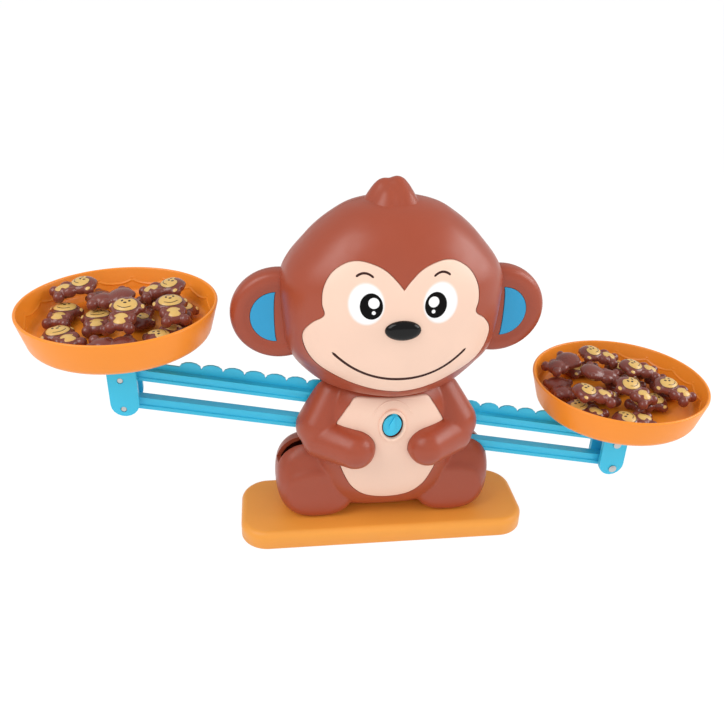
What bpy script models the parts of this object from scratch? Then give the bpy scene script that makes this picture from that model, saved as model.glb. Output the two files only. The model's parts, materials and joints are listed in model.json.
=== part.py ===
"""A balance toy: a seated monkey holds two linked beams, with a bowl at each end.

Sizes are in metres, +Z is up, and the toy faces -Y.
"""

import math

import bmesh
import bpy
from mathutils import Matrix, Vector

# Clearances and walls
PLAY = 0.0003
OVERRUN = 0.004
WALL = 0.0024
INLAY_DEPTH = 0.0012
INLAY_PROUD = 0.0003

# Base plate
BASE_LENGTH = 0.178
BASE_DEPTH = 0.057
BASE_HEIGHT = 0.0115
BASE_CORNER = 0.017
BASE_EDGE = 0.004
BASE_WALL = 0.0025
BASE_RIB = 0.0018

# Linkage
UPPER_PIVOT_HEIGHT = 0.086
PIVOT_SPACING = 0.0183
PIVOT_RISE = 0.005
ARM = 0.1525
REST_TILT = math.radians(11.1)
AXLE_RADIUS = 0.002
PIN_RADIUS = 0.0015
PIN_HEAD_RADIUS = 0.0025
PIN_HEAD_HEIGHT = 0.0008

# Beams
BAR_DEPTH = 0.0058
UPPER_BAR_BELOW = 0.0019
UPPER_BAR_ABOVE = 0.0048
LOWER_BAR_BELOW = 0.0021
LOWER_BAR_ABOVE = 0.0052
GROOVE_DEPTH = 0.0008
GROOVE_HEIGHT = 0.0022
GROOVE_SLOPE = 0.0004
EYE_RADIUS = 0.0044
EYE_HALF_LENGTH = 0.0063
UPPER_HUB_RADIUS = 0.009
UPPER_HUB_HALF_LENGTH = 0.007
LOWER_HUB_RADIUS = 0.0061
LOWER_HUB_HALF_LENGTH = 0.0053
FLANGE_THICKNESS = 0.0016
FLANGE_HEIGHT = 0.003
FLANGE_END_SETBACK = 0.0095
SCALLOP_PITCH = 0.0123
SCALLOP_RISE = 0.0036
SCALLOP_SETBACK = 0.0305
SCALLOPS_PER_SIDE = 8
SCALLOP_STEPS = 6

# Brackets under the bowls
BRACKET_WIDTH = 0.0158
BRACKET_SETBACK = 0.001
BRACKET_DEPTH = 0.019
CHEEK_THICKNESS = 0.0029
BRACKET_TOP = 0.0226
BRACKET_TOP_THICKNESS = 0.0026
BRACKET_WEB = 0.0019
WEB_DROP = 0.012
BRACKET_FOOT = 0.0045
SEAT_RADIUS = 0.013
SEAT_HEIGHT = 0.0035

# Bowls
BOWL_RADIUS = 0.0528
BOWL_DEPTH = 0.02
BOWL_FOOT = 0.003
BOWL_DRAFT = math.radians(10.5)
BOWL_WALL = 0.0018
BOWL_FLOOR = 0.002
BOWL_CORNER = 0.006
BOWL_COLLAR_HEIGHT = 0.0014
BOWL_COLLAR_WALL = 0.0016
BOWL_INSET = 0.0026

# Seated body
BODY_HEIGHT = 0.0922
BODY_HALF_WIDTH = 0.044
BODY_FRONT = 0.0293
BODY_BACK = 0.0325
BODY_ROUNDNESS = 2.2
NECK_RADIUS = 0.014
NECK_WALL = 0.0024
NECK_FLANGE = 0.0025
NECK_FLANGE_THICKNESS = 0.0018
SLOT_HALF_WIDTH = 0.0037
SLOT_INNER = 0.0185
SLOT_BOTTOM = 0.0465

# height share, then width, front, back and roundness shares
TORSO_SHARES = (
    (0.00, 0.68, 0.14, 0.74, 1.00),
    (0.05, 0.80, 0.34, 0.83, 1.00),
    (0.09, 0.87, 0.48, 0.90, 1.00),
    (0.13, 0.92, 0.60, 0.94, 1.00),
    (0.20, 0.96, 0.71, 0.97, 1.00),
    (0.31, 0.99, 0.83, 1.00, 1.00),
    (0.47, 1.00, 0.93, 1.00, 1.00),
    (0.63, 0.98, 0.98, 1.00, 1.00),
    (0.79, 0.91, 1.00, 0.95, 1.00),
    (0.90, 0.82, 0.96, 0.86, 1.00),
    (0.965, 0.73, 0.88, 0.77, 1.00),
    (1.00, 0.66, 0.79, 0.70, 1.00),
)

# Legs
LEG_FRONT = 0.0165
LEG_BACK = 0.0285
LEG_SIDE = 0.0422
LEG_HALF_WIDTH = 0.0248
LEG_CENTRE_HEIGHT = 0.0355
LEG_HALF_HEIGHT = 0.025
LEG_ROUNDNESS = 2.5

# depth share from front to back, then side, height, width and tallness shares
LEG_SHARES = (
    (0.00, 0.965, 0.83, 0.69, 0.54),
    (0.02, 0.965, 0.83, 0.79, 0.63),
    (0.08, 0.975, 0.845, 0.87, 0.74),
    (0.17, 0.99, 0.93, 0.95, 0.91),
    (0.30, 1.00, 0.99, 0.985, 1.00),
    (0.48, 1.01, 1.00, 0.985, 1.00),
    (0.66, 1.00, 0.985, 0.94, 0.95),
    (0.84, 0.97, 0.90, 0.77, 0.76),
    (0.95, 0.95, 0.84, 0.52, 0.54),
    (1.00, 0.95, 0.82, 0.26, 0.28),
)

# Arms: where each end of the upper arm and of the forearm lies, and how thick it is
SHOULDER_SIDE = 0.0315
SHOULDER_FORWARD = 0.003
SHOULDER_HEIGHT = 0.0925
SHOULDER_RADIUS = 0.0125
ELBOW_SIDE = 0.0398
ELBOW_FORWARD = 0.0095
ELBOW_HEIGHT = 0.076
ELBOW_RADIUS = 0.0145
FOREARM_SIDE = 0.0375
FOREARM_FORWARD = 0.0135
FOREARM_HEIGHT = 0.0705
FOREARM_RADIUS = 0.0136
HAND_SIDE = 0.021
HAND_FORWARD = 0.0285
HAND_HEIGHT = 0.071
HAND_RADIUS = 0.0116

# Belly panel
BELLY_HALF_WIDTH = 0.0325
BELLY_BOTTOM = 0.0298
BELLY_TOP = 0.102
BELLY_SHARES = (
    (0.00, 1.00),
    (0.32, 1.00),
    (0.62, 0.985),
    (0.74, 0.92),
    (0.86, 0.83),
    (0.97, 0.73),
    (1.00, 0.62),
    (0.97, 0.48),
    (0.90, 0.37),
    (0.80, 0.245),
    (0.665, 0.13),
    (0.46, 0.045),
    (0.23, 0.01),
    (0.00, 0.00),
)

# Window in the belly, and the bearing tube behind it
WINDOW_HALF_WIDTH = 0.0061
WINDOW_HALF_HEIGHT = 0.0085
WINDOW_RIM = 0.0022
WINDOW_RIM_HEIGHT = 0.0011
BEARING_WALL = 0.0022
POINTER_HALF_WIDTH = 0.0053
POINTER_DROP = 0.0074
POINTER_SHOULDER = 0.0062
POINTER_TIP = 0.008
POINTER_TIP_HALF_WIDTH = 0.0031
POINTER_TIP_BASE = 0.005
POINTER_THICKNESS = 0.003
POINTER_STEM_RADIUS = 0.004
POINTER_SETBACK = 0.0012
POINTER_RIDGE_LENGTH = 0.0062
POINTER_RIDGE_WIDTH = 0.0034
POINTER_RIDGE_HEIGHT = 0.001
POINTER_PLUG = 0.003

# Bosses and screws
AXLE_BOSS_WALL = 0.003
SCREW_RADIUS = 0.0014
SCREW_HEAD_RADIUS = 0.0028
SCREW_CROWN_SHARE = 0.7
SCREW_TIP_SHARE = 0.9
SCREW_HEAD_HEIGHT = 0.0021
SCREW_LENGTH = 0.015
SCREW_SEAT = 0.005
BOSS_RADIUS = 0.0044
BODY_SCREW_SIDE = 0.021
BODY_SCREW_HEIGHT = 0.0385
BASE_SCREW_SIDE = 0.042
BASE_SCREW_BACK = 0.011
BASE_BOSS_HEIGHT = 0.012
HEAD_SCREW_SIDE = 0.015
HEAD_SCREW_HEIGHT_SHARE = 0.846
# How far the bosses reach towards the walls they stand on
BEARING_REACH_SHARE = 0.925
UPPER_BACK_REACH_SHARE = 0.915
LOWER_FRONT_REACH_SHARE = 0.955
SCREW_FRONT_REACH_SHARE = 0.68
SCREW_BACK_REACH_SHARE = 0.88
HEAD_REACH_SHARE = 0.68

# Head
HEAD_HEIGHT = 0.1072
HEAD_HALF_WIDTH = 0.0615
HEAD_FRONT = 0.044
HEAD_BACK = 0.036
HEAD_ROUNDNESS = 2.3
HEAD_PARTING = 0.002

# height share, then width, front, back and roundness shares
HEAD_SHARES = (
    (0.00, 0.62, 0.50, 0.55, 0.78),
    (0.035, 0.725, 0.76, 0.72, 0.72),
    (0.09, 0.83, 0.91, 0.83, 0.68),
    (0.146, 0.90, 0.965, 0.90, 0.72),
    (0.24, 0.96, 0.995, 0.96, 0.90),
    (0.38, 0.985, 1.00, 1.00, 1.00),
    (0.52, 1.00, 1.00, 1.00, 1.00),
    (0.613, 0.99, 0.975, 0.985, 1.00),
    (0.688, 0.925, 0.93, 0.945, 1.00),
    (0.762, 0.82, 0.86, 0.875, 1.00),
    (0.837, 0.70, 0.755, 0.775, 1.00),
    (0.902, 0.56, 0.62, 0.64, 1.00),
    (0.953, 0.415, 0.45, 0.47, 1.00),
    (0.986, 0.22, 0.24, 0.25, 1.00),
    (1.00, 0.08, 0.08, 0.08, 1.00),
)

# Tuft of hair: a low dome of blended locks that stands on the crown
TUFT_RADIUS = 0.0165
TUFT_RISE = 0.0098
TUFT_SINK = 0.0026
TUFT_BLEND = 0.0013
# side, forward, radius and rise shares of each lock
TUFT_SHARES = (
    (0.06, 0.00, 0.66, 1.00),
    (-0.38, -0.04, 0.60, 0.90),
    (-0.26, 0.34, 0.52, 0.62),
    (0.22, 0.32, 0.50, 0.58),
)
# size share of each ring of the dome
TUFT_RING_SHARES = (1.00, 0.84, 0.68, 0.52, 0.36, 0.20)

# Ears
EAR_SIDE = 0.062
EAR_HEIGHT_SHARE = 0.3778
EAR_HALF_WIDTH = 0.0272
EAR_HALF_HEIGHT = 0.0262
EAR_FRONT = 0.005
EAR_BACK = 0.009
# depth share from front to back, then size share
EAR_SHARES = (
    (0.00, 0.86),
    (0.07, 0.94),
    (0.24, 0.99),
    (0.50, 1.00),
    (0.78, 0.97),
    (0.94, 0.88),
    (1.00, 0.78),
)
EAR_INSERT_SIDE = 0.0638
EAR_INSERT_WIDTH = 0.0142
EAR_INSERT_HALF_HEIGHT = 0.0146
EAR_INSERT_BULGE = 0.0012

# Face panel
FACE_HALF_WIDTH = 0.0505
FACE_BOTTOM_SHARE = 0.1063
FACE_TOP_SHARE = 0.7761
# width share, height share, from the notch at the top round to the chin
FACE_SHARES = (
    (0.00, 0.815),
    (0.07, 0.875),
    (0.18, 0.945),
    (0.31, 0.985),
    (0.45, 1.00),
    (0.58, 0.975),
    (0.71, 0.905),
    (0.79, 0.80),
    (0.805, 0.69),
    (0.785, 0.605),
    (0.90, 0.53),
    (0.985, 0.44),
    (0.995, 0.35),
    (0.93, 0.24),
    (0.79, 0.145),
    (0.54, 0.05),
    (0.27, 0.008),
    (0.00, 0.00),
)

# Nose
NOSE_HEIGHT_SHARE = 0.458
NOSE_HALF_WIDTH = 0.0094
NOSE_HALF_HEIGHT = 0.0055
NOSE_RISE = 0.0036
# rise share above the face, then size share
NOSE_SHARES = (
    (-0.32, 0.93),
    (0.05, 1.00),
    (0.45, 0.93),
    (0.78, 0.72),
    (0.95, 0.42),
    (1.00, 0.14),
)

# Counters, shaped like small monkeys that lie flat
COUNTER_LENGTH = 0.0262
COUNTER_WIDTH = 0.0185
COUNTER_THICKNESS = 0.0084
COUNTER_SPINE_HEAD_SHARE = -0.24
COUNTER_SPINE_FOOT_SHARE = 0.26
# length share, width share, from the top of the head round one side to the tail
COUNTER_OUTLINE_SHARES = (
    (-0.50, 0.00),
    (-0.46, 0.27),
    (-0.37, 0.40),
    (-0.32, 0.50),
    (-0.23, 0.47),
    (-0.17, 0.36),
    (-0.04, 0.28),
    (0.09, 0.44),
    (0.19, 0.37),
    (0.27, 0.30),
    (0.38, 0.44),
    (0.49, 0.30),
    (0.44, 0.00),
)
# thickness share, then size share of each ring
COUNTER_RING_SHARES = (
    (0.00, 0.74),
    (0.30, 1.00),
    (0.74, 0.88),
    (1.00, 0.50),
)

# Where the counters lie: side and depth shares of the bowl's floor radius, heading in degrees,
# layer, and lean in degrees
LEFT_COUNTER_SHARES = (
    (-0.67, 0.16, 262, 0, 0),
    (-0.53, -0.45, 310, 0, 0),
    (-0.24, -0.05, 276, 0, 0),
    (-0.22, 0.64, 6, 0, 0),
    (0.38, 0.58, 160, 0, 0),
    (0.20, 0.05, 92, 0, 0),
    (0.67, 0.10, 268, 0, 0),
    (0.56, -0.44, 50, 0, 0),
    (0.02, -0.68, 178, 0, 0),
    (-0.57, 0.48, 204, 1, 8),
    (-0.10, 0.18, 190, 1, 8),
    (0.13, -0.36, 262, 1, 16),
    (0.62, -0.22, 285, 1, 10),
    (0.46, 0.38, 195, 1, 9),
)
RIGHT_COUNTER_SHARES = (
    (0.68, 0.08, 93, 0, 0),
    (0.395, 0.625, 340, 0, 0),
    (-0.22, 0.66, 355, 0, 0),
    (-0.71, 0.14, 268, 0, 0),
    (-0.58, -0.42, 320, 0, 0),
    (-0.06, -0.68, 355, 0, 0),
    (0.21, 0.23, 12, 0, 0),
    (-0.26, -0.06, 347, 0, 0),
    (0.28, -0.30, 197, 0, 0),
    (-0.59, 0.49, 208, 1, 10),
    (-0.20, 0.16, 345, 1, 12),
    (0.37, 0.23, 345, 1, 9),
    (0.62, -0.26, 303, 0.77, 8),
    (0.06, -0.32, 300, 0.89, 14),
    (-0.50, -0.36, 345, 1, 9),
    (-0.02, 0.66, 335, 1, 7),
)

# Counts of facets
FINE = 32
MEDIUM = 24
SMALL = 16
TINY = 12
SMOOTH_ANGLE = math.radians(40)

# Digits kept in each coordinate
DIGITS = 9

# Places worked out from the sizes above
BODY_BOTTOM = BASE_HEIGHT + PLAY
BODY_TOP = BODY_BOTTOM + BODY_HEIGHT
HEAD_BOTTOM = BODY_TOP + PLAY
HEAD_TOP = HEAD_BOTTOM + HEAD_HEIGHT
HEAD_SCREW_HEIGHT = HEAD_BOTTOM + HEAD_HEIGHT * HEAD_SCREW_HEIGHT_SHARE
EAR_HEIGHT = HEAD_BOTTOM + HEAD_HEIGHT * EAR_HEIGHT_SHARE
FACE_BOTTOM = HEAD_BOTTOM + HEAD_HEIGHT * FACE_BOTTOM_SHARE
FACE_TOP = HEAD_BOTTOM + HEAD_HEIGHT * FACE_TOP_SHARE
NOSE_HEIGHT = HEAD_BOTTOM + HEAD_HEIGHT * NOSE_HEIGHT_SHARE
SHOULDER_PLACE = (SHOULDER_SIDE, -SHOULDER_FORWARD, SHOULDER_HEIGHT)
ELBOW_PLACE = (ELBOW_SIDE, -ELBOW_FORWARD, ELBOW_HEIGHT)
FOREARM_PLACE = (FOREARM_SIDE, -FOREARM_FORWARD, FOREARM_HEIGHT)
HAND_PLACE = (HAND_SIDE, -HAND_FORWARD, HAND_HEIGHT)
LOWER_PIVOT_HEIGHT = UPPER_PIVOT_HEIGHT - PIVOT_SPACING
BOWL_SEAT = BRACKET_TOP + SEAT_HEIGHT + PLAY - BOWL_FOOT
BOWL_FLOOR_RADIUS = BOWL_RADIUS - (BOWL_DEPTH - BOWL_FOOT) * math.tan(BOWL_DRAFT) - BOWL_WALL
AXLE_BORE = AXLE_RADIUS + PLAY
PIN_BORE = PIN_RADIUS + PLAY
SCREW_BORE = SCREW_RADIUS + PLAY


def clear_scene():
    for existing in list(bpy.data.objects):
        bpy.data.objects.remove(existing)


def plastic(name, colour, roughness):
    material = bpy.data.materials.new(name)
    material.use_nodes = True
    shader = material.node_tree.nodes["Principled BSDF"]
    shader.inputs["Base Color"].default_value = (*colour, 1)
    shader.inputs["Roughness"].default_value = roughness
    return material


def metal(name, colour, roughness):
    material = plastic(name, colour, roughness)
    material.node_tree.nodes["Principled BSDF"].inputs["Metallic"].default_value = 1
    return material


def make_object(name, shape):
    """Turns a closed bmesh into an object with its faces pointing out."""
    bmesh.ops.recalc_face_normals(shape, faces=shape.faces)
    mesh = bpy.data.meshes.new(name)
    shape.to_mesh(mesh)
    shape.free()
    result = bpy.data.objects.new(name, mesh)
    bpy.context.scene.collection.objects.link(result)
    return result


def loft(name, rings):
    """A closed solid through rings of equal count, capped at both ends."""
    shape = bmesh.new()
    loops = []
    for ring in rings:
        loops.append([shape.verts.new([round(value, DIGITS) for value in point]) for point in ring])
    count = len(loops[0])
    for lower, upper in zip(loops, loops[1:]):
        for index in range(count):
            after = (index + 1) % count
            shape.faces.new((lower[index], lower[after], upper[after]))
            shape.faces.new((lower[index], upper[after], upper[index]))
    shape.faces.new(loops[0])
    shape.faces.new(loops[-1])
    return make_object(name, shape)


def turned(name, profile, count):
    """A solid turned about Z from a profile of (radius, height) that starts and ends on the axis."""
    shape = bmesh.new()
    bottom = shape.verts.new((0, 0, profile[0][1]))
    top = shape.verts.new((0, 0, profile[-1][1]))
    loops = [
        [shape.verts.new(point) for point in circle(radius, count, height)]
        for radius, height in profile[1:-1]
    ]
    for index in range(count):
        after = (index + 1) % count
        shape.faces.new((bottom, loops[0][after], loops[0][index]))
        for lower, upper in zip(loops, loops[1:]):
            shape.faces.new((lower[index], lower[after], upper[after], upper[index]))
        shape.faces.new((loops[-1][index], loops[-1][after], top))
    return make_object(name, shape)


def circle(radius, count, height):
    return [
        Vector((radius * math.cos(turn), radius * math.sin(turn), height))
        for turn in (2 * math.pi * step / count for step in range(count))
    ]


def arc(centre, radius, start, end, steps):
    """Points on an arc in a plane, both ends included; angles in degrees."""
    return [
        (centre[0] + radius * math.cos(turn), centre[1] + radius * math.sin(turn))
        for turn in (math.radians(start + (end - start) * step / steps) for step in range(steps + 1))
    ]


def signed_power(value, power):
    return math.copysign(abs(value) ** power, value)


def superellipse(half_width, below, above, roundness, count):
    """A closed curve with one half width and unlike reaches below and above its centre."""
    points = []
    for step in range(count):
        turn = 2 * math.pi * step / count
        across = half_width * signed_power(math.cos(turn), 2 / roundness)
        reach = above if math.sin(turn) > 0 else below
        points.append((across, reach * signed_power(math.sin(turn), 2 / roundness)))
    return points


def rounded_rectangle(length, depth, corner, steps):
    points = []
    for index, (side, end) in enumerate(((1, 1), (-1, 1), (-1, -1), (1, -1))):
        centre = (side * (length / 2 - corner), end * (depth / 2 - corner))
        points += arc(centre, corner, 90 * index, 90 * (index + 1), steps)
    return points


def prism(name, outline, start, end, axis="Y"):
    """An outline pushed along an axis. Along Y the outline is (x, z), along Z (x, y), along X (y, z)."""
    place = {
        "X": lambda point, level: (level, point[0], point[1]),
        "Y": lambda point, level: (point[0], level, point[1]),
        "Z": lambda point, level: (point[0], point[1], level),
    }[axis]
    return loft(name, [[place(point, level) for point in outline] for level in (start, end)])


def cylinder(name, radius, start, end, centre=(0, 0), axis="Y", count=SMALL):
    outline = [(centre[0] + x, centre[1] + y) for x, y, _ in circle(radius, count, 0)]
    return prism(name, outline, start, end, axis)


def box(name, low, high):
    outline = [(low[0], low[2]), (high[0], low[2]), (high[0], high[2]), (low[0], high[2])]
    return prism(name, outline, low[1], high[1])


def apply_boolean(target, tool, operation):
    modifier = target.modifiers.new(operation.lower(), "BOOLEAN")
    modifier.operation = operation
    modifier.solver = "EXACT"
    modifier.object = tool
    view = bpy.context.evaluated_depsgraph_get()
    solved = bpy.data.meshes.new_from_object(target.evaluated_get(view))
    target.modifiers.remove(modifier)
    target.data = solved
    bpy.data.objects.remove(tool)
    return target


def unite(target, *tools):
    for tool in tools:
        apply_boolean(target, tool, "UNION")
    return target


def cut(target, *tools):
    for tool in tools:
        apply_boolean(target, tool, "DIFFERENCE")
    return target


def overlap(target, tool):
    return apply_boolean(target, tool, "INTERSECT")


def duplicate(source, name):
    result = source.copy()
    result.data = source.data.copy()
    result.name = name
    bpy.context.scene.collection.objects.link(result)
    return result


def finish(piece, name, material, pivot=None):
    """Names a piece, gives it its material, and hangs it on a pivot it was modelled around."""
    piece.name = name
    piece.data.name = name
    piece.data.materials.clear()
    piece.data.materials.append(material)
    piece.data.shade_smooth()
    piece.data.set_sharp_from_angle(angle=SMOOTH_ANGLE)
    if pivot is not None:
        piece.parent = pivot
    return piece


def make_pivot(name, place, turn=0, parent=None):
    """An empty on a joint's axis, turned about Y."""
    pivot = bpy.data.objects.new(name, None)
    pivot.location = place
    pivot.rotation_euler = (0, turn, 0)
    pivot.parent = parent
    bpy.context.scene.collection.objects.link(pivot)
    return pivot


def figure_surface(name, shares, sizes, bottom, height, roundness, count, grow=0.0):
    """A body or head lofted through level sections; grow moves its surface out, or in if negative."""
    half_width, front, back = sizes
    lowest = bottom - grow
    highest = bottom + height + grow
    rings = []
    for level, wide, fore, aft, corner in shares:
        z = lowest + level * (highest - lowest)
        reaches = (half_width * wide + grow, front * fore + grow, back * aft + grow)
        rings.append([(x, y, z) for x, y in superellipse(*reaches, roundness * corner, count)])
    return loft(name, rings)


def every_other(shares):
    """A coarser table of sections that keeps the first and the last one."""
    return shares[:-1:2] + shares[-1:]


def head_surface(name, count=MEDIUM, grow=0.0, shares=HEAD_SHARES):
    sizes = (HEAD_HALF_WIDTH, HEAD_FRONT, HEAD_BACK)
    return figure_surface(name, shares, sizes, HEAD_BOTTOM, HEAD_HEIGHT, HEAD_ROUNDNESS, count, grow)


def torso_surface(name, count=MEDIUM, grow=0.0, shares=TORSO_SHARES):
    sizes = (BODY_HALF_WIDTH, BODY_FRONT, BODY_BACK)
    return figure_surface(name, shares, sizes, BODY_BOTTOM, BODY_HEIGHT, BODY_ROUNDNESS, count, grow)


def leg_surface(name, side, count=SMALL, grow=0.0, shares=LEG_SHARES):
    """One folded leg, with a flat sole at the front."""
    front = -LEG_FRONT - grow
    back = LEG_BACK + grow
    rings = []
    for along, sideways, level, wide, tall in shares:
        y = front + along * (back - front)
        half_height = LEG_HALF_HEIGHT * tall + grow
        section = superellipse(LEG_HALF_WIDTH * wide + grow, half_height, half_height, LEG_ROUNDNESS, count)
        centre_x = side * LEG_SIDE * sideways
        centre_z = LEG_CENTRE_HEIGHT * level
        rings.append([(centre_x + x, y, centre_z + z) for x, z in section])
    return loft(name, rings)


def limb(name, start, end, start_radius, end_radius, count):
    """A tapered limb with a ball at each end."""
    start = Vector(start)
    end = Vector(end)
    length = (end - start).length
    steps = 3
    profile = arc((0, 0), start_radius, -90, 0, steps)
    profile += arc((0, length), end_radius, 0, 90, steps)
    profile = [(max(radius, 0), height) for radius, height in profile]
    result = turned(name, profile, count)
    turn = Vector((0, 0, 1)).rotation_difference(end - start).to_matrix().to_4x4()
    result.data.transform(Matrix.Translation(start) @ turn)
    return result


def mirror_place(place, side):
    return (side * place[0], place[1], place[2])


def arm_surface(name, side, grow=0.0):
    """One bent arm, made of an upper arm and a forearm that ends in a mitten of a hand."""
    shoulder = mirror_place(SHOULDER_PLACE, side)
    elbow = mirror_place(ELBOW_PLACE, side)
    forearm = mirror_place(FOREARM_PLACE, side)
    hand = mirror_place(HAND_PLACE, side)
    arm = limb(name, shoulder, elbow, SHOULDER_RADIUS + grow, ELBOW_RADIUS + grow, SMALL)
    return unite(arm, limb("forearm", forearm, hand, FOREARM_RADIUS + grow, HAND_RADIUS + grow, SMALL))


def half_outline(shares, half_width, bottom, top):
    height = top - bottom
    return [(half_width * across, bottom + height * up) for across, up in shares]


def mirrored_outline(shares, half_width, bottom, top, grow=0.0):
    """A symmetrical outline; grow moves each point out along the outline's own normal."""
    right = half_outline(shares, half_width, bottom, top)
    left = [(-x, z) for x, z in reversed(right[1:-1])]
    return grown_outline(right + left, grow)


def grown_outline(points, grow):
    """Moves a clockwise outline outwards by a distance."""
    count = len(points)
    result = []
    for index, point in enumerate(points):
        before = Vector(points[index - 1])
        after = Vector(points[(index + 1) % count])
        along = (after - before).normalized()
        result.append((point[0] - along.y * grow, point[1] + along.x * grow))
    return result


def make_base(materials):
    """The base plate: a shallow tray turned upside down, with two ribs."""
    rings = []
    steps = 4
    for z in (0, BASE_HEIGHT - BASE_EDGE):
        outline = rounded_rectangle(BASE_LENGTH, BASE_DEPTH, BASE_CORNER, steps + 2)
        rings.append([(x, y, z) for x, y in outline])
    for step in range(1, steps + 1):
        turn = math.pi / 2 * step / steps
        inset = BASE_EDGE * (1 - math.cos(turn))
        z = BASE_HEIGHT - BASE_EDGE + BASE_EDGE * math.sin(turn)
        outline = rounded_rectangle(
            BASE_LENGTH - 2 * inset, BASE_DEPTH - 2 * inset, BASE_CORNER - inset, steps + 2
        )
        rings.append([(x, y, z) for x, y in outline])
    base = loft("base_plate", rings)
    hollow_outline = rounded_rectangle(
        BASE_LENGTH - 2 * BASE_WALL, BASE_DEPTH - 2 * BASE_WALL, BASE_CORNER - BASE_WALL, steps
    )
    hollow = prism("hollow", hollow_outline, -OVERRUN, BASE_HEIGHT - BASE_WALL, "Z")
    for side in (-1, 1):
        middle = side * BASE_LENGTH / 6
        rib = box(
            "rib",
            (middle - BASE_RIB / 2, -BASE_DEPTH, -2 * OVERRUN),
            (middle + BASE_RIB / 2, BASE_DEPTH, BASE_HEIGHT),
        )
        cut(hollow, rib)
    cut(base, hollow)
    for side in (-1, 1):
        centre = (side * BASE_SCREW_SIDE, BASE_SCREW_BACK)
        cut(base, cylinder("hole", SCREW_BORE, 0, BASE_HEIGHT + OVERRUN, centre, "Z", TINY))
    finish(base, "base_plate", materials["base"])


def make_screw(name, material, place, direction):
    """A pan-headed screw whose head seats at place and whose shank runs along direction."""
    profile = [
        (0, -SCREW_HEAD_HEIGHT),
        (SCREW_HEAD_RADIUS * SCREW_CROWN_SHARE, -SCREW_HEAD_HEIGHT),
        (SCREW_HEAD_RADIUS, -SCREW_HEAD_HEIGHT / 2),
        (SCREW_HEAD_RADIUS, -PLAY),
        (SCREW_RADIUS, -PLAY),
        (SCREW_RADIUS, SCREW_LENGTH * SCREW_TIP_SHARE),
        (SCREW_RADIUS / 3, SCREW_LENGTH),
        (0, SCREW_LENGTH),
    ]
    screw = turned(name, profile, TINY)
    turn = Vector((0, 0, 1)).rotation_difference(Vector(direction)).to_matrix().to_4x4()
    screw.data.transform(Matrix.Translation(place) @ turn)
    return finish(screw, name, material)


def make_body(materials):
    """The seated body as a front and a back shell, with its belly panel."""
    outer = torso_surface("body")
    cut(outer, inlay_pocket(torso_surface, belly_outline(PLAY)))
    for side in (-1, 1):
        unite(outer, leg_surface("leg", side))
        unite(outer, arm_surface("arm", side))
    reach = BODY_HALF_WIDTH * 3
    below = box("below", (-reach, -reach, -OVERRUN), (reach, reach, BODY_BOTTOM))
    above = box("above", (-reach, -reach, BODY_TOP), (reach, reach, BODY_TOP + OVERRUN * 4))
    cut(outer, below, above)

    cavity = torso_surface("cavity", SMALL, -WALL, every_other(TORSO_SHARES))
    for side in (-1, 1):
        unite(cavity, leg_surface("leg_cavity", side, TINY, -WALL, every_other(LEG_SHARES)))
    cut(cavity, box("floor", (-reach, -reach, 0), (reach, reach, BODY_BOTTOM + WALL)))
    cut(outer, cavity)
    neck_hole = NECK_RADIUS + PLAY
    neck_bottom = BODY_TOP - WALL * 2
    cut(outer, cylinder("neck", neck_hole, neck_bottom, BODY_TOP + OVERRUN, axis="Z", count=MEDIUM))

    add_body_bosses(outer)
    cut_body_openings(outer)

    back = duplicate(outer, "back")
    front = outer
    overlap(front, box("front_half", (-reach, -reach, 0), (reach, -PLAY / 2, BODY_TOP * 2)))
    overlap(back, box("back_half", (-reach, PLAY / 2, 0), (reach, reach, BODY_TOP * 2)))
    finish(front, "body_front_shell", materials["brown"])
    finish(back, "body_back_shell", materials["brown"])


def window_outline(grow=0.0):
    """An upright oval round the upper pivot."""
    half_height = WINDOW_HALF_HEIGHT + grow
    oval = superellipse(WINDOW_HALF_WIDTH + grow, half_height, half_height, 2, MEDIUM)
    return [(x, UPPER_PIVOT_HEIGHT + z) for x, z in oval]


def add_body_bosses(outer):
    """Posts inside the shells: for both axles, the window's bearing and the screws."""
    back_wall = BODY_BACK - WALL / 2
    front_wall = BODY_FRONT - (WALL + INLAY_DEPTH + PLAY) / 2
    upper = (0, UPPER_PIVOT_HEIGHT)
    lower = (0, LOWER_PIVOT_HEIGHT)
    axle_boss = AXLE_RADIUS + AXLE_BOSS_WALL
    upper_back = UPPER_HUB_HALF_LENGTH + PLAY
    lower_back = LOWER_HUB_HALF_LENGTH + PLAY
    unite(outer, cylinder("boss", axle_boss, upper_back, back_wall * UPPER_BACK_REACH_SHARE, upper))
    unite(outer, cylinder("boss", axle_boss, lower_back, back_wall, lower))
    unite(outer, cylinder("boss", axle_boss, -front_wall * LOWER_FRONT_REACH_SHARE, -lower_back, lower))
    bearing_front = -front_wall * BEARING_REACH_SHARE
    unite(outer, prism("bearing", window_outline(BEARING_WALL), bearing_front, -upper_back))
    for side in (-1, 1):
        place = (side * BODY_SCREW_SIDE, BODY_SCREW_HEIGHT)
        front_end = -front_wall * SCREW_FRONT_REACH_SHARE
        unite(outer, cylinder("boss", BOSS_RADIUS, front_end, back_wall * SCREW_BACK_REACH_SHARE, place))
        place = (side * BASE_SCREW_SIDE, BASE_SCREW_BACK)
        top = BODY_BOTTOM + BASE_BOSS_HEIGHT
        unite(outer, cylinder("boss", BOSS_RADIUS, BODY_BOTTOM + WALL / 2, top, place, "Z"))


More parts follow.
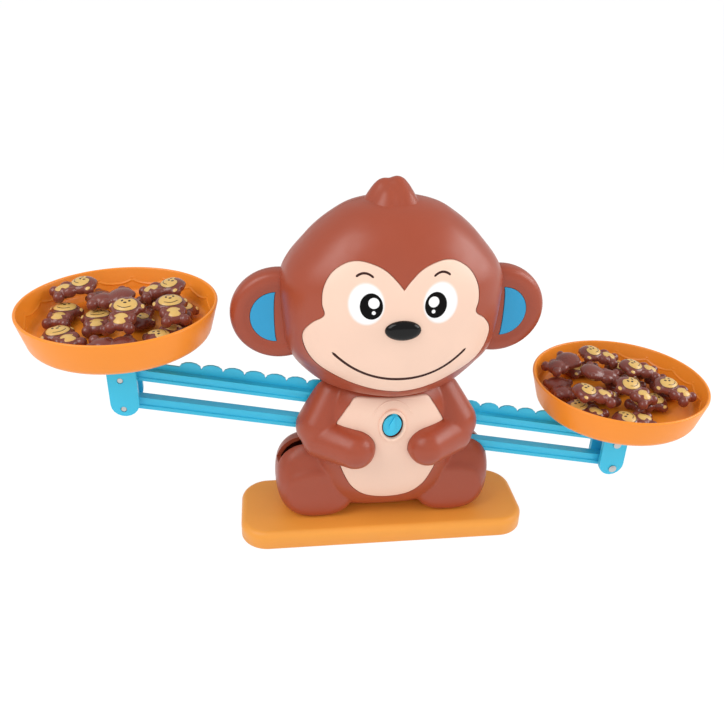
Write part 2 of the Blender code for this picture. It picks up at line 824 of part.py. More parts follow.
def cut_body_openings(outer):
    """The beams' side slots, the axle bores, the window and the screw holes."""
    upper = (0, UPPER_PIVOT_HEIGHT)
    lower = (0, LOWER_PIVOT_HEIGHT)
    back_end = BODY_BACK - 2 * WALL
    front_end = BODY_FRONT - 3 * WALL
    cut(outer, cylinder("bore", AXLE_BORE, 0, back_end, upper))
    cut(outer, cylinder("bore", AXLE_BORE, -front_end, back_end, lower))
    cut(outer, prism("window", window_outline(), -BODY_FRONT - OVERRUN, 0))
    for side in (-1, 1):
        near = side * SLOT_INNER
        far = side * BODY_HALF_WIDTH * 2
        low = (min(near, far), -SLOT_HALF_WIDTH, SLOT_BOTTOM)
        high = (max(near, far), SLOT_HALF_WIDTH, BODY_TOP + OVERRUN)
        cut(outer, box("slot", low, high))
        place = (side * BODY_SCREW_SIDE, BODY_SCREW_HEIGHT)
        screw_end = SCREW_SEAT - SCREW_LENGTH - PLAY
        cut(outer, cylinder("screw_hole", SCREW_BORE, screw_end, SCREW_SEAT * 2, place, count=TINY))
        head_hole = SCREW_HEAD_RADIUS + PLAY
        cut(outer, cylinder("head_hole", head_hole, SCREW_SEAT, BODY_BACK + OVERRUN, place))
        place = (side * BASE_SCREW_SIDE, BASE_SCREW_BACK)
        boss_top = BODY_BOTTOM + BASE_BOSS_HEIGHT
        cut(outer, cylinder("base_hole", SCREW_BORE, 0, boss_top + OVERRUN, place, "Z", TINY))


def inlay(name, surface, outline):
    """A panel let into a shell: a slice of its surface, seen through an outline."""
    panel = surface(name, grow=INLAY_PROUD)
    cut(panel, surface("inner", grow=-INLAY_DEPTH))
    return overlap(panel, prism("window", outline, -HEAD_FRONT * 2, 0))


def inlay_pocket(surface, outline):
    """What is cut from a shell to let a panel in."""
    pocket = prism("pocket", outline, -HEAD_FRONT * 2, 0)
    return cut(pocket, surface("pocket_floor", grow=-INLAY_DEPTH - PLAY))


def belly_outline(grow=0.0):
    return mirrored_outline(BELLY_SHARES, BELLY_HALF_WIDTH, BELLY_BOTTOM, BELLY_TOP, grow)


def make_belly(materials):
    """The pale belly panel, with a raised rim round its window."""
    panel = inlay("belly_panel", torso_surface, belly_outline())
    for side in (-1, 1):
        cut(panel, arm_surface("arm", side, PLAY))
        cut(panel, leg_surface("leg", side, SMALL, PLAY))
    rim = prism("rim", window_outline(WINDOW_RIM), -BODY_FRONT - WINDOW_RIM_HEIGHT, 0)
    cut(rim, torso_surface("inside", grow=-INLAY_DEPTH / 2))
    unite(panel, rim)
    cut(panel, prism("window", window_outline(), -BODY_FRONT - OVERRUN, 0))
    finish(panel, "belly_panel", materials["pale"])


def tuft_rise(x, y):
    """How far the blended locks of hair stand above the crown at a place."""
    total = 0
    for sideways, forward, wide, tall in TUFT_SHARES:
        away = math.hypot(x - TUFT_RADIUS * sideways, y + TUFT_RADIUS * forward) / (TUFT_RADIUS * wide)
        lock = TUFT_RISE * tall * max(0, 1 - away * away)
        total += math.expm1(lock / TUFT_BLEND)
    return TUFT_BLEND * math.log1p(total)


def tuft(name):
    """The tuft of hair on the crown, from a foot below the crown up to the tops of its locks."""
    profile = [(0, HEAD_TOP - 2 * TUFT_SINK), (TUFT_RADIUS, HEAD_TOP - 2 * TUFT_SINK)]
    profile += [(TUFT_RADIUS * size, HEAD_TOP - TUFT_SINK * size * size) for size in TUFT_RING_SHARES]
    profile.append((0, HEAD_TOP))
    result = turned(name, profile, SMALL)
    for vertex in result.data.vertices:
        if vertex.co.z > HEAD_TOP - TUFT_SINK - PLAY:
            vertex.co.z += tuft_rise(vertex.co.x, vertex.co.y)
    return result


def ear_surface(name, side, count=MEDIUM, grow=0.0, shares=EAR_SHARES):
    """A flat round ear with softened edges."""
    front = -EAR_FRONT - grow
    back = EAR_BACK + grow
    rings = []
    for along, size in shares:
        y = front + along * (back - front)
        half_height = EAR_HALF_HEIGHT * size + grow
        section = superellipse(EAR_HALF_WIDTH * size + grow, half_height, half_height, 2, count)
        rings.append([(side * EAR_SIDE + x, y, EAR_HEIGHT + z) for x, z in section])
    return loft(name, rings)


def ear_insert_outline(side, grow=0.0):
    """A half moon whose flat side lies along the head."""
    steps = 10
    points = []
    for step in range(steps + 1):
        turn = math.pi * step / steps
        across = EAR_INSERT_SIDE + EAR_INSERT_WIDTH * math.sin(turn)
        points.append((across, EAR_HEIGHT + EAR_INSERT_HALF_HEIGHT * math.cos(turn)))
    for step in range(1, steps // 2):
        turn = math.pi * step / (steps // 2)
        across = EAR_INSERT_SIDE + EAR_INSERT_BULGE * math.sin(turn)
        points.append((across, EAR_HEIGHT - EAR_INSERT_HALF_HEIGHT * math.cos(turn)))
    return [(side * x, z) for x, z in grown_outline(points, grow)]


def make_ear_insert(name, side, materials):
    outline = ear_insert_outline(side)
    insert = prism(name, outline, -EAR_FRONT - INLAY_PROUD, -EAR_FRONT + INLAY_DEPTH)
    finish(insert, name, materials["ear_blue"])


def face_outline(grow=0.0):
    return mirrored_outline(FACE_SHARES, FACE_HALF_WIDTH, FACE_BOTTOM, FACE_TOP, grow)


def make_face(materials):
    """The pale face panel, with a hole that the nose is plugged through."""
    panel = inlay("face_panel", head_surface, face_outline())
    half_height = NOSE_HALF_HEIGHT + PLAY
    hole = superellipse(NOSE_HALF_WIDTH + PLAY, half_height, half_height, 2, SMALL)
    outline = [(x, NOSE_HEIGHT + z) for x, z in hole]
    cut(panel, prism("nose_hole", outline, -HEAD_FRONT - OVERRUN, 0))
    finish(panel, "face_panel", materials["pale"])


def make_nose(material):
    """An oval button of a nose, flat at the back."""
    rings = []
    for level, size in NOSE_SHARES:
        y = -HEAD_FRONT - NOSE_RISE * level
        half_height = NOSE_HALF_HEIGHT * size
        section = superellipse(NOSE_HALF_WIDTH * size, half_height, half_height, 2, SMALL)
        rings.append([(x, y, NOSE_HEIGHT + z) for x, z in section])
    finish(loft("nose", rings), "nose", material)


def make_head(materials):
    """The head as a front and a back shell with half an ear each, held by its neck flange."""
    outer = head_surface("head")
    for side in (-1, 1):
        unite(outer, ear_surface("ear", side))
    unite(outer, tuft("tuft"))
    cavity = head_surface("cavity", SMALL, -WALL, every_other(HEAD_SHARES))
    for side in (-1, 1):
        unite(cavity, ear_surface("ear_cavity", side, SMALL, -WALL, every_other(EAR_SHARES)))
    cut(outer, cavity)
    flange_top = BODY_TOP - WALL - PLAY
    neck_bottom = flange_top - NECK_FLANGE_THICKNESS
    unite(outer, cylinder("neck", NECK_RADIUS, neck_bottom, HEAD_BOTTOM + WALL / 2, axis="Z", count=MEDIUM))
    flange = NECK_RADIUS + NECK_FLANGE
    unite(outer, cylinder("flange", flange, neck_bottom, flange_top, axis="Z", count=MEDIUM))
    neck_bore = NECK_RADIUS - NECK_WALL
    cut(outer, cylinder("bore", neck_bore, neck_bottom - OVERRUN, HEAD_BOTTOM + OVERRUN, axis="Z"))
    cut(outer, inlay_pocket(head_surface, face_outline(PLAY)))
    pocket_floor = -EAR_FRONT + INLAY_DEPTH + PLAY
    for side in (-1, 1):
        cut(outer, prism("pocket", ear_insert_outline(side, PLAY), -EAR_FRONT - OVERRUN, pocket_floor))
        place = (side * HEAD_SCREW_SIDE, HEAD_SCREW_HEIGHT)
        reach = HEAD_BACK * HEAD_REACH_SHARE
        unite(outer, cylinder("boss", BOSS_RADIUS, -reach, reach, place))
        seat = HEAD_PARTING + SCREW_SEAT
        cut(outer, cylinder("hole", SCREW_BORE, seat - SCREW_LENGTH - PLAY, seat * 2, place, count=TINY))
        cut(outer, cylinder("head_hole", SCREW_HEAD_RADIUS + PLAY, seat, HEAD_BACK + OVERRUN, place))

    wide = EAR_SIDE + EAR_HALF_WIDTH * 2
    tall = HEAD_TOP + TUFT_RISE + OVERRUN
    back = duplicate(outer, "back")
    overlap(outer, box("front_half", (-wide, -wide, 0), (wide, HEAD_PARTING - PLAY / 2, tall)))
    overlap(back, box("back_half", (-wide, HEAD_PARTING + PLAY / 2, 0), (wide, wide, tall)))
    finish(outer, "head_front_shell", materials["brown"])
    finish(back, "head_back_shell", materials["brown"])


def bar_outline(below, above):
    """The section of a beam, with a groove along its front and its back."""
    half = BAR_DEPTH / 2
    middle = (above - below) / 2
    outer_edge = GROOVE_HEIGHT / 2 + GROOVE_SLOPE
    inner_edge = GROOVE_HEIGHT / 2
    floor = half - GROOVE_DEPTH
    right = [
        (half, -below),
        (half, middle - outer_edge),
        (floor, middle - inner_edge),
        (floor, middle + inner_edge),
        (half, middle + outer_edge),
        (half, above),
    ]
    return right + [(-y, z) for y, z in reversed(right)]


def make_bar(name, below, above, hub_radius, hub_half_length):
    """A level beam with an eye at each end, and a hub that stands above the line of the eyes."""
    bar = prism(name, bar_outline(PIVOT_RISE + below, above - PIVOT_RISE), -ARM, ARM, "X")
    for side in (-1, 1):
        eye = cylinder("eye", EYE_RADIUS, -EYE_HALF_LENGTH, EYE_HALF_LENGTH, (side * ARM, -PIVOT_RISE))
        unite(bar, eye)
    unite(bar, cylinder("hub", hub_radius, -hub_half_length, hub_half_length, count=MEDIUM))
    for side in (-1, 1):
        reach = EYE_HALF_LENGTH + OVERRUN
        cut(bar, cylinder("bore", PIN_BORE, -reach, reach, (side * ARM, -PIVOT_RISE), count=TINY))
    reach = hub_half_length + OVERRUN
    return cut(bar, cylinder("bore", AXLE_BORE, -reach, reach))


def scalloped_flange(side):
    """The thin upright edge on the back of the upper beam, with a row of bumps."""
    foot = UPPER_BAR_ABOVE - FLANGE_THICKNESS - PIVOT_RISE
    crest = UPPER_BAR_ABOVE + FLANGE_HEIGHT - PIVOT_RISE
    first = ARM - SCALLOP_SETBACK
    last = first - SCALLOPS_PER_SIDE * SCALLOP_PITCH
    end = ARM - FLANGE_END_SETBACK
    points = [(end, foot), (end, crest)]
    for bump in range(SCALLOPS_PER_SIDE):
        start = first - bump * SCALLOP_PITCH
        for step in range(SCALLOP_STEPS):
            turn = math.pi * step / SCALLOP_STEPS
            along = start - SCALLOP_PITCH * (1 - math.cos(turn)) / 2
            points.append((along, crest + SCALLOP_RISE * math.sin(turn)))
    points += [(last, crest), (last, foot)]
    outline = [(side * x, z) for x, z in points]
    half = BAR_DEPTH / 2
    return prism("flange", outline, half - FLANGE_THICKNESS, half - PLAY)


def make_beams(pivots, materials):
    hub = (UPPER_HUB_RADIUS, UPPER_HUB_HALF_LENGTH)
    upper = make_bar("upper_beam", UPPER_BAR_BELOW, UPPER_BAR_ABOVE, *hub)
    for side in (-1, 1):
        unite(upper, scalloped_flange(side))
    finish(upper, "upper_beam", materials["blue"], pivots["upper"])
    hub = (LOWER_HUB_RADIUS, LOWER_HUB_HALF_LENGTH)
    lower = make_bar("lower_beam", LOWER_BAR_BELOW, LOWER_BAR_ABOVE, *hub)
    finish(lower, "lower_beam", materials["blue"], pivots["lower"])


def make_pointer(pivot, materials):
    """The drop-shaped pointer that turns with the upper beam in the belly's window."""
    front = -BODY_FRONT + POINTER_SETBACK
    back = -UPPER_HUB_HALF_LENGTH - PLAY
    drop = superellipse(POINTER_HALF_WIDTH, POINTER_DROP, POINTER_SHOULDER, 2, MEDIUM)
    pointer = prism("tilt_pointer", drop, front, front + POINTER_THICKNESS)
    tip = [
        (-POINTER_TIP_HALF_WIDTH, POINTER_TIP_BASE),
        (POINTER_TIP_HALF_WIDTH, POINTER_TIP_BASE),
        (0, POINTER_TIP),
    ]
    unite(pointer, prism("tip", tip, front + PLAY, front + POINTER_THICKNESS - PLAY))
    unite(pointer, cylinder("stem", POINTER_STEM_RADIUS, front + POINTER_THICKNESS / 2, back))
    unite(pointer, cylinder("plug", AXLE_RADIUS, back - PLAY, back + POINTER_PLUG))
    ridge = [(-POINTER_RIDGE_WIDTH / 2, 0)]
    ridge += arc((0, -POINTER_RIDGE_WIDTH / 4), POINTER_RIDGE_WIDTH / 2, 180, 360, 6)[1:]
    ridge.append((0, POINTER_RIDGE_LENGTH))
    unite(pointer, prism("ridge", ridge, front - POINTER_RIDGE_HEIGHT, front + POINTER_RIDGE_HEIGHT))
    finish(pointer, "tilt_pointer", materials["blue"], pivot)


def make_axles(materials):
    """Two fixed steel axles, in the bores of the shells' bosses."""
    back = BODY_BACK - 2 * WALL - PLAY
    upper = cylinder("upper_axle", AXLE_RADIUS, -POINTER_PLUG / 2, back, (0, UPPER_PIVOT_HEIGHT))
    finish(upper, "upper_axle", materials["steel"])
    front = -BODY_FRONT + 3 * WALL + PLAY
    lower = cylinder("lower_axle", AXLE_RADIUS, front, back, (0, LOWER_PIVOT_HEIGHT))
    finish(lower, "lower_axle", materials["steel"])


def cheek_outline(side):
    """A plate with a round foot, set back from its pins towards the middle of the toy."""
    half = BRACKET_WIDTH / 2
    middle = -side * BRACKET_SETBACK
    points = arc((middle, half - PIVOT_SPACING - BRACKET_FOOT), half, 180, 360, 10)
    return points + [(middle + half, BRACKET_TOP), (middle - half, BRACKET_TOP)]


def make_bracket(word, side, pivot, materials):
    """The fork that carries a bowl: two cheeks, an outer web, a top plate and a round seat."""
    half_width = BRACKET_WIDTH / 2
    half_depth = BRACKET_DEPTH / 2
    middle = -side * BRACKET_SETBACK
    inner = half_depth - CHEEK_THICKNESS
    bracket = prism("bracket", cheek_outline(side), -half_depth, -inner)
    back_cheek = prism("cheek", cheek_outline(side), inner, half_depth)
    top_bottom = BRACKET_TOP - BRACKET_TOP_THICKNESS
    low = (middle - half_width, -inner - PLAY, top_bottom)
    top = box("top", low, (middle + half_width, inner + PLAY, BRACKET_TOP))
    outer_edge = middle + side * half_width
    edges = (outer_edge - side * BRACKET_WEB, outer_edge)
    low = (min(edges), -inner - PLAY, -WEB_DROP)
    web = box("web", low, (max(edges), inner + PLAY, BRACKET_TOP - PLAY))
    unite(bracket, top, back_cheek, web)
    centre = (-side * BOWL_INSET, 0)
    seat_top = BRACKET_TOP + SEAT_HEIGHT
    unite(bracket, cylinder("seat", SEAT_RADIUS, top_bottom + PLAY, seat_top, centre, "Z", MEDIUM))
    for height in (0, -PIVOT_SPACING):
        reach = half_depth + OVERRUN
        cut(bracket, cylinder("bore", PIN_BORE, -reach, reach, (0, height), count=TINY))
    finish(bracket, "bracket_" + word, materials["blue"], pivot)


def make_link_pin(name, height, facing, pivot, materials):
    """A pin through a bracket's cheeks and a beam's eye, with its head in front or behind."""
    half_depth = BRACKET_DEPTH / 2
    head_end = half_depth + PLAY + PIN_HEAD_HEIGHT
    profile = [
        (0, -half_depth + PLAY),
        (PIN_RADIUS, -half_depth + PLAY),
        (PIN_RADIUS, half_depth + PLAY),
        (PIN_HEAD_RADIUS, half_depth + PLAY),
        (PIN_HEAD_RADIUS, head_end - PIN_HEAD_HEIGHT / 2),
        (PIN_HEAD_RADIUS / 2, head_end),
        (0, head_end),
    ]
    pin = turned(name, profile, TINY)
    pin.data.transform(Matrix.Rotation(math.radians(-90 * facing), 4, "X"))
    pin.data.transform(Matrix.Translation((0, 0, height)))
    finish(pin, name, materials["steel"], pivot)


def bowl_profile():
    """From the raised middle of the underside, up the wall, over the rim and down to the floor."""
    foot = BOWL_RADIUS - BOWL_DEPTH * math.tan(BOWL_DRAFT)
    rim = BOWL_WALL / 2
    steps = 2
    lean = math.degrees(BOWL_DRAFT)
    outer = arc((foot - BOWL_CORNER, BOWL_CORNER), BOWL_CORNER, -90, -lean, steps)
    top = arc((BOWL_RADIUS - rim, BOWL_DEPTH - rim), rim, -lean, 180 - lean, steps + 1)
    inner_corner = BOWL_CORNER - BOWL_FLOOR / 2
    floor = BOWL_FOOT + BOWL_FLOOR
    inner = arc((BOWL_FLOOR_RADIUS - inner_corner, floor + inner_corner), inner_corner, -lean, -90, steps)
    recess = foot - BOWL_CORNER - BOWL_WALL
    return [(0, BOWL_FOOT), (recess, BOWL_FOOT), (recess, 0)] + outer + top + inner + [(0, floor)]


def make_bowl(word, side, pivot, materials):
    """A round bowl, with a low collar under it that fits round the bracket's seat."""
    bowl = turned("bowl", bowl_profile(), FINE)
    inner = SEAT_RADIUS + PLAY
    outer = inner + BOWL_COLLAR_WALL
    low = BOWL_FOOT - BOWL_COLLAR_HEIGHT
    high = BOWL_FOOT + BOWL_FLOOR / 2
    collar = cylinder("collar", outer, low, high, axis="Z", count=MEDIUM)
    cut(collar, cylinder("inside", inner, low - OVERRUN, high + OVERRUN, axis="Z", count=MEDIUM))
    unite(bowl, collar)
    bowl.data.transform(Matrix.Translation((-side * BOWL_INSET, 0, BOWL_SEAT)))
    finish(bowl, "pan_" + word, materials["bowl"], pivot)


def counter_mesh(name):
    """A flat-lying monkey figure: rings of its outline, drawn in towards its spine."""
    upper = [(COUNTER_LENGTH * x, COUNTER_WIDTH * y) for x, y in COUNTER_OUTLINE_SHARES]
    outline = upper + [(x, -y) for x, y in reversed(upper[1:-1])]
    head = COUNTER_LENGTH * COUNTER_SPINE_HEAD_SHARE
    foot = COUNTER_LENGTH * COUNTER_SPINE_FOOT_SHARE
    rings = []
    for level, size in COUNTER_RING_SHARES:
        ring = []
        for x, y in outline:
            spine = min(max(x, head), foot)
            ring.append((spine + (x - spine) * size, y * size, COUNTER_THICKNESS * level))
        rings.append(ring)
    return loft(name, rings)


def make_counters(word, side, shares, pivot, materials):
    """The counters in one bowl, lying flat on its floor or leaning on the ones below."""
    floor_radius = BOWL_FLOOR_RADIUS - PLAY
    floor = BOWL_SEAT + BOWL_FOOT + BOWL_FLOOR + PLAY
    for number, (sideways, deep, heading, layer, lean) in enumerate(shares, 1):
        counter = counter_mesh("counter")
        tilt = Matrix.Rotation(math.radians(lean), 4, "Y")
        counter.data.transform(Matrix.Rotation(math.radians(heading), 4, "Z") @ tilt)
        lowest = min(vertex.co.z for vertex in counter.data.vertices)
        place = (
            floor_radius * sideways - side * BOWL_INSET,
            floor_radius * deep,
            floor + layer * (COUNTER_THICKNESS + PLAY) - lowest,
        )
        counter.data.transform(Matrix.Translation(place))
        finish(counter, f"counter_{word}_{number:02d}", materials["counter"], pivot)


def main():
    clear_scene()
    materials = {
        "brown": plastic("brown_plastic", (0.37, 0.075, 0.032), 0.35),
        "pale": plastic("pale_plastic", (0.94, 0.69, 0.54), 0.4),
        "base": plastic("orange_plastic", (0.85, 0.36, 0.06), 0.4),
        "bowl": plastic("bowl_plastic", (0.91, 0.33, 0.04), 0.35),
        "blue": plastic("blue_plastic", (0.06, 0.5, 0.76), 0.4),
        "ear_blue": plastic("ear_blue_plastic", (0.03, 0.34, 0.68), 0.4),
        "black": plastic("black_plastic", (0.01, 0.008, 0.007), 0.1),
        "counter": plastic("counter_plastic", (0.17, 0.035, 0.022), 0.2),
        "steel": metal("steel", (0.7, 0.7, 0.7), 0.3),
    }
    make_base(materials)
    make_body(materials)
    make_belly(materials)
    make_head(materials)
    make_face(materials)
    make_nose(materials["black"])
    for side, word in ((-1, "left"), (1, "right")):
        make_ear_insert("ear_insert_" + word, side, materials)
        place = (side * BODY_SCREW_SIDE, SCREW_SEAT, BODY_SCREW_HEIGHT)
        make_screw("body_screw_" + word, materials["steel"], place, (0, -1, 0))
        place = (side * HEAD_SCREW_SIDE, HEAD_PARTING + SCREW_SEAT, HEAD_SCREW_HEIGHT)
        make_screw("head_screw_" + word, materials["steel"], place, (0, -1, 0))
        place = (side * BASE_SCREW_SIDE, BASE_SCREW_BACK, BASE_HEIGHT - BASE_WALL)
        make_screw("base_screw_" + word, materials["steel"], place, (0, 0, 1))

    pivots = {
        "upper": make_pivot("upper_beam_pivot", (0, 0, UPPER_PIVOT_HEIGHT), REST_TILT),
        "lower": make_pivot("lower_beam_pivot", (0, 0, LOWER_PIVOT_HEIGHT), REST_TILT),
    }
    make_beams(pivots, materials)
    make_pointer(pivots["upper"], materials)
    make_axles(materials)
    for side, word, shares in ((-1, "left", LEFT_COUNTER_SHARES), (1, "right", RIGHT_COUNTER_SHARES)):
        place = (side * ARM, 0, -PIVOT_RISE)
        pivot = make_pivot("bracket_pivot_" + word, place, -REST_TILT, pivots["upper"])
        make_bracket(word, side, pivot, materials)
        facing = -side
        make_link_pin(f"upper_pin_{word}", 0, facing, pivot, materials)
        make_link_pin(f"lower_pin_{word}", -PIVOT_SPACING, facing, pivot, materials)
        make_bowl(word, side, pivot, materials)
        make_counters(word, side, shares, pivot, materials)


main()
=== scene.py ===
import json
import math

import bmesh
import bpy
import numpy as np
from mathutils import Matrix, Vector
from mathutils.bvhtree import BVHTree

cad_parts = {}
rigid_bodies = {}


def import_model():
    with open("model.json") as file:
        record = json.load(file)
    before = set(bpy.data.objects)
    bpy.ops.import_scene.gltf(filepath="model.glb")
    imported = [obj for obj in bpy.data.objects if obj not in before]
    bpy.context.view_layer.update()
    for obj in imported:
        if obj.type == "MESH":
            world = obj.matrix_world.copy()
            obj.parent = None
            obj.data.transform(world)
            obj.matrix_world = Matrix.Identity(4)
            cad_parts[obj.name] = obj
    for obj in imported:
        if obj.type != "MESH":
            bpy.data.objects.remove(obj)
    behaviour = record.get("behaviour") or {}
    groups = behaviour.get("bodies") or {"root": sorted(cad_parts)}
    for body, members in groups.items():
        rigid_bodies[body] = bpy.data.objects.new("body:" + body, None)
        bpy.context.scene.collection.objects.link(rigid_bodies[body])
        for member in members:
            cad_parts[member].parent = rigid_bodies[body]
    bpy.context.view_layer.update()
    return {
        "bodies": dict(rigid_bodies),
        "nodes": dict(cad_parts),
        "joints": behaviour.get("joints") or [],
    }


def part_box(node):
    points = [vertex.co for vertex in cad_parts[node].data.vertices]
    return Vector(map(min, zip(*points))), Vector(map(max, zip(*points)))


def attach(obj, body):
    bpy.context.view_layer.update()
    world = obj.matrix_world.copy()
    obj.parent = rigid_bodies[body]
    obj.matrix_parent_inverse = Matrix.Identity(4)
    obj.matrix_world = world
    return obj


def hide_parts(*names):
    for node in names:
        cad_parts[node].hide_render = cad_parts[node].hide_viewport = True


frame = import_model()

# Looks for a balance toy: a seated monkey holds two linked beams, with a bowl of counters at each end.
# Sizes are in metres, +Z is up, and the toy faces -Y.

joints = {joint["name"]: joint for joint in frame["joints"]}
scene = bpy.context.scene

# Camera
CAMERA_AZIMUTH = math.radians(-7.61)
CAMERA_ELEVATION = math.radians(28.0)
CAMERA_ROLL = math.radians(1.68)
CAMERA_PLACE = (-0.0672, -0.3926, 0.3229)
CAMERA_LENS = 38.27
SENSOR_WIDTH = 36.0
NEAREST_SEEN = 0.01
FARTHEST_SEEN = 100.0

# Lights: place, width and height of the lit face, and power in watts
LIGHT_TARGET = (0, 0, 0.12)
LEFT_SOFTBOX = ((-0.66, -0.33, 0.88), 0.6, 0.75, 4.7)
RIGHT_SOFTBOX = ((0.90, -0.05, 0.58), 0.8, 0.5, 4.7)
FRONT_FILL = ((0.0, -1.00, 0.46), 1.0, 0.7, 2.0)
AMBIENT_LEVEL = 0.56
BACKGROUND_LEVEL = 1.0

# Floor
FLOOR_REACH = 12.0
FLOOR_THICKNESS = 0.01
FLOOR_WHITE = (0.86, 0.86, 0.86, 1)
FLOOR_ROUGHNESS = 0.9
FLOOR_GLOW = 1.1
FLOOR_GLOW_SHARE = 0.85

# Walls and clearances
PLAY = 0.0003
OVERRUN = 0.004
WALL = 0.0024
INLAY_DEPTH = 0.0012
INLAY_PROUD = 0.0003
INLAY_EDGE = 0.0007
PRINT_PROUD = 0.00006
NODE_EDGE = 0.00025

# Base plate
BASE_CORNER = 0.017
BASE_EDGE = 0.004
BASE_WALL = 0.0025
BASE_RIB = 0.0018

# Body
BODY_HALF_WIDTH = 0.044
BODY_FRONT = 0.0293
BODY_BACK = 0.0325
BODY_HEIGHT = 0.0922
BODY_ROUNDNESS = 2.2
BODY_VOXEL = 0.0009
BODY_SMOOTHING = 6
SLOT_HALF_WIDTH = 0.0037
SLOT_INNER = 0.0185
SLOT_BOTTOM = 0.0465
NECK_RADIUS = 0.014

# height share, then width, front, back and roundness shares
TORSO_SHARES = (
    (0.00, 0.68, 0.14, 0.74, 1.00),
    (0.05, 0.80, 0.34, 0.83, 1.00),
    (0.09, 0.87, 0.48, 0.90, 1.00),
    (0.13, 0.92, 0.60, 0.94, 1.00),
    (0.20, 0.96, 0.71, 0.97, 1.00),
    (0.31, 0.99, 0.83, 1.00, 1.00),
    (0.47, 1.00, 0.93, 1.00, 1.00),
    (0.63, 0.98, 0.98, 1.00, 1.00),
    (0.79, 0.91, 1.00, 0.95, 1.00),
    (0.90, 0.82, 0.96, 0.86, 1.00),
    (0.965, 0.73, 0.88, 0.77, 1.00),
    (1.00, 0.66, 0.79, 0.70, 1.00),
)

# Legs
LEG_FRONT = 0.0165
LEG_BACK = 0.0285
LEG_SIDE = 0.0422
LEG_HALF_WIDTH = 0.0248
LEG_CENTRE_HEIGHT = 0.0355
LEG_HALF_HEIGHT = 0.025
LEG_ROUNDNESS = 2.5
# depth share from front to back, then side, height, width and tallness shares
LEG_SHARES = (
    (0.00, 0.965, 0.83, 0.69, 0.54),
    (0.02, 0.965, 0.83, 0.79, 0.63),
    (0.08, 0.975, 0.845, 0.87, 0.74),
    (0.17, 0.99, 0.93, 0.95, 0.91),
    (0.30, 1.00, 0.99, 0.985, 1.00),
    (0.48, 1.01, 1.00, 0.985, 1.00),
    (0.66, 1.00, 0.985, 0.94, 0.95),
    (0.84, 0.97, 0.90, 0.77, 0.76),
    (0.95, 0.95, 0.84, 0.52, 0.54),
    (1.00, 0.95, 0.82, 0.26, 0.28),
)

# Arms: start and end of each limb, then its radius there; the side is mirrored
ARM_LIMBS = (
    ((0.0315, -0.003, 0.0925), (0.0398, -0.0095, 0.076), 0.0125, 0.0145),
    ((0.0375, -0.0135, 0.0705), (0.021, -0.0285, 0.071), 0.0136, 0.0116),
)

# Belly panel and its window
BELLY_HALF_WIDTH = 0.0325
BELLY_BOTTOM = 0.0298
BELLY_TOP = 0.102
BELLY_SHARES = (
    (0.00, 1.00),
    (0.32, 1.00),
    (0.62, 0.985),
    (0.74, 0.92),
    (0.86, 0.83),
    (0.97, 0.73),
    (1.00, 0.62),
    (0.97, 0.48),
    (0.90, 0.37),
    (0.80, 0.245),
    (0.665, 0.13),
    (0.46, 0.045),
    (0.23, 0.01),
    (0.00, 0.00),
)
WINDOW_HALF_WIDTH = 0.0061
WINDOW_HALF_HEIGHT = 0.0085
WINDOW_RIM = 0.0022
WINDOW_RIM_HEIGHT = 0.0011
WINDOW_ARC_HALF_WIDTH = 0.0125
WINDOW_ARC_HALF_HEIGHT = 0.015
WINDOW_ARC_THICKNESS = 0.0008
WINDOW_ARC_RISE = 0.00022
WINDOW_ARC_DEGREES = (25, 155)
BEARING_WALL = 0.0022
BEARING_REACH_SHARE = 0.86

# Screw wells in the back shells
SCREW_RADIUS = 0.0014
SCREW_HEAD_RADIUS = 0.0028
SCREW_SEAT = 0.005
SCREW_LENGTH = 0.015
BOSS_RADIUS = 0.0044
BODY_SCREW_SIDE = 0.021
BODY_SCREW_HEIGHT = 0.0385
HEAD_SCREW_SIDE = 0.015
HEAD_SCREW_HEIGHT_SHARE = 0.846
BASE_SCREW_SIDE = 0.042
BASE_SCREW_BACK = 0.011

# Head
HEAD_HEIGHT = 0.1072
HEAD_HALF_WIDTH = 0.0615
HEAD_FRONT = 0.044
HEAD_BACK = 0.036
HEAD_ROUNDNESS = 2.3
HEAD_PARTING = 0.002
# height share, then width, front, back and roundness shares
HEAD_SHARES = (
    (0.00, 0.62, 0.50, 0.55, 0.78),
    (0.035, 0.725, 0.76, 0.72, 0.72),
    (0.09, 0.83, 0.91, 0.83, 0.68),
    (0.146, 0.90, 0.965, 0.90, 0.72),
    (0.24, 0.96, 0.995, 0.96, 0.90),
    (0.38, 0.985, 1.00, 1.00, 1.00),
    (0.52, 1.00, 1.00, 1.00, 1.00),
    (0.613, 0.99, 0.975, 0.985, 1.00),
    (0.688, 0.925, 0.93, 0.945, 1.00),
    (0.762, 0.82, 0.86, 0.875, 1.00),
    (0.837, 0.70, 0.755, 0.775, 1.00),
    (0.902, 0.56, 0.62, 0.64, 1.00),
    (0.953, 0.415, 0.45, 0.47, 1.00),
    (0.986, 0.22, 0.24, 0.25, 1.00),
    (1.00, 0.08, 0.08, 0.08, 1.00),
)
CROWN_SHARES = (0.06, 0.04, 0.02)

# Tuft of hair: a low dome of smoothly blended locks
TUFT_RADIUS = 0.0165
TUFT_RISE = 0.0098
TUFT_BLEND = 0.0011
TUFT_FOOT = 0.0002
TUFT_SOFTNESS = 1.2
# side, forward, radius and rise shares of each lock
TUFT_SHARES = (
    (0.06, 0.00, 0.66, 1.00),
    (-0.38, -0.04, 0.60, 0.90),
    (-0.26, 0.34, 0.52, 0.62),
    (0.22, 0.32, 0.50, 0.58),
)

# Ears
EAR_SIDE = 0.062
EAR_HEIGHT_SHARE = 0.3778
EAR_HALF_WIDTH = 0.0272
EAR_HALF_HEIGHT = 0.0262
EAR_FRONT = 0.005
EAR_BACK = 0.009
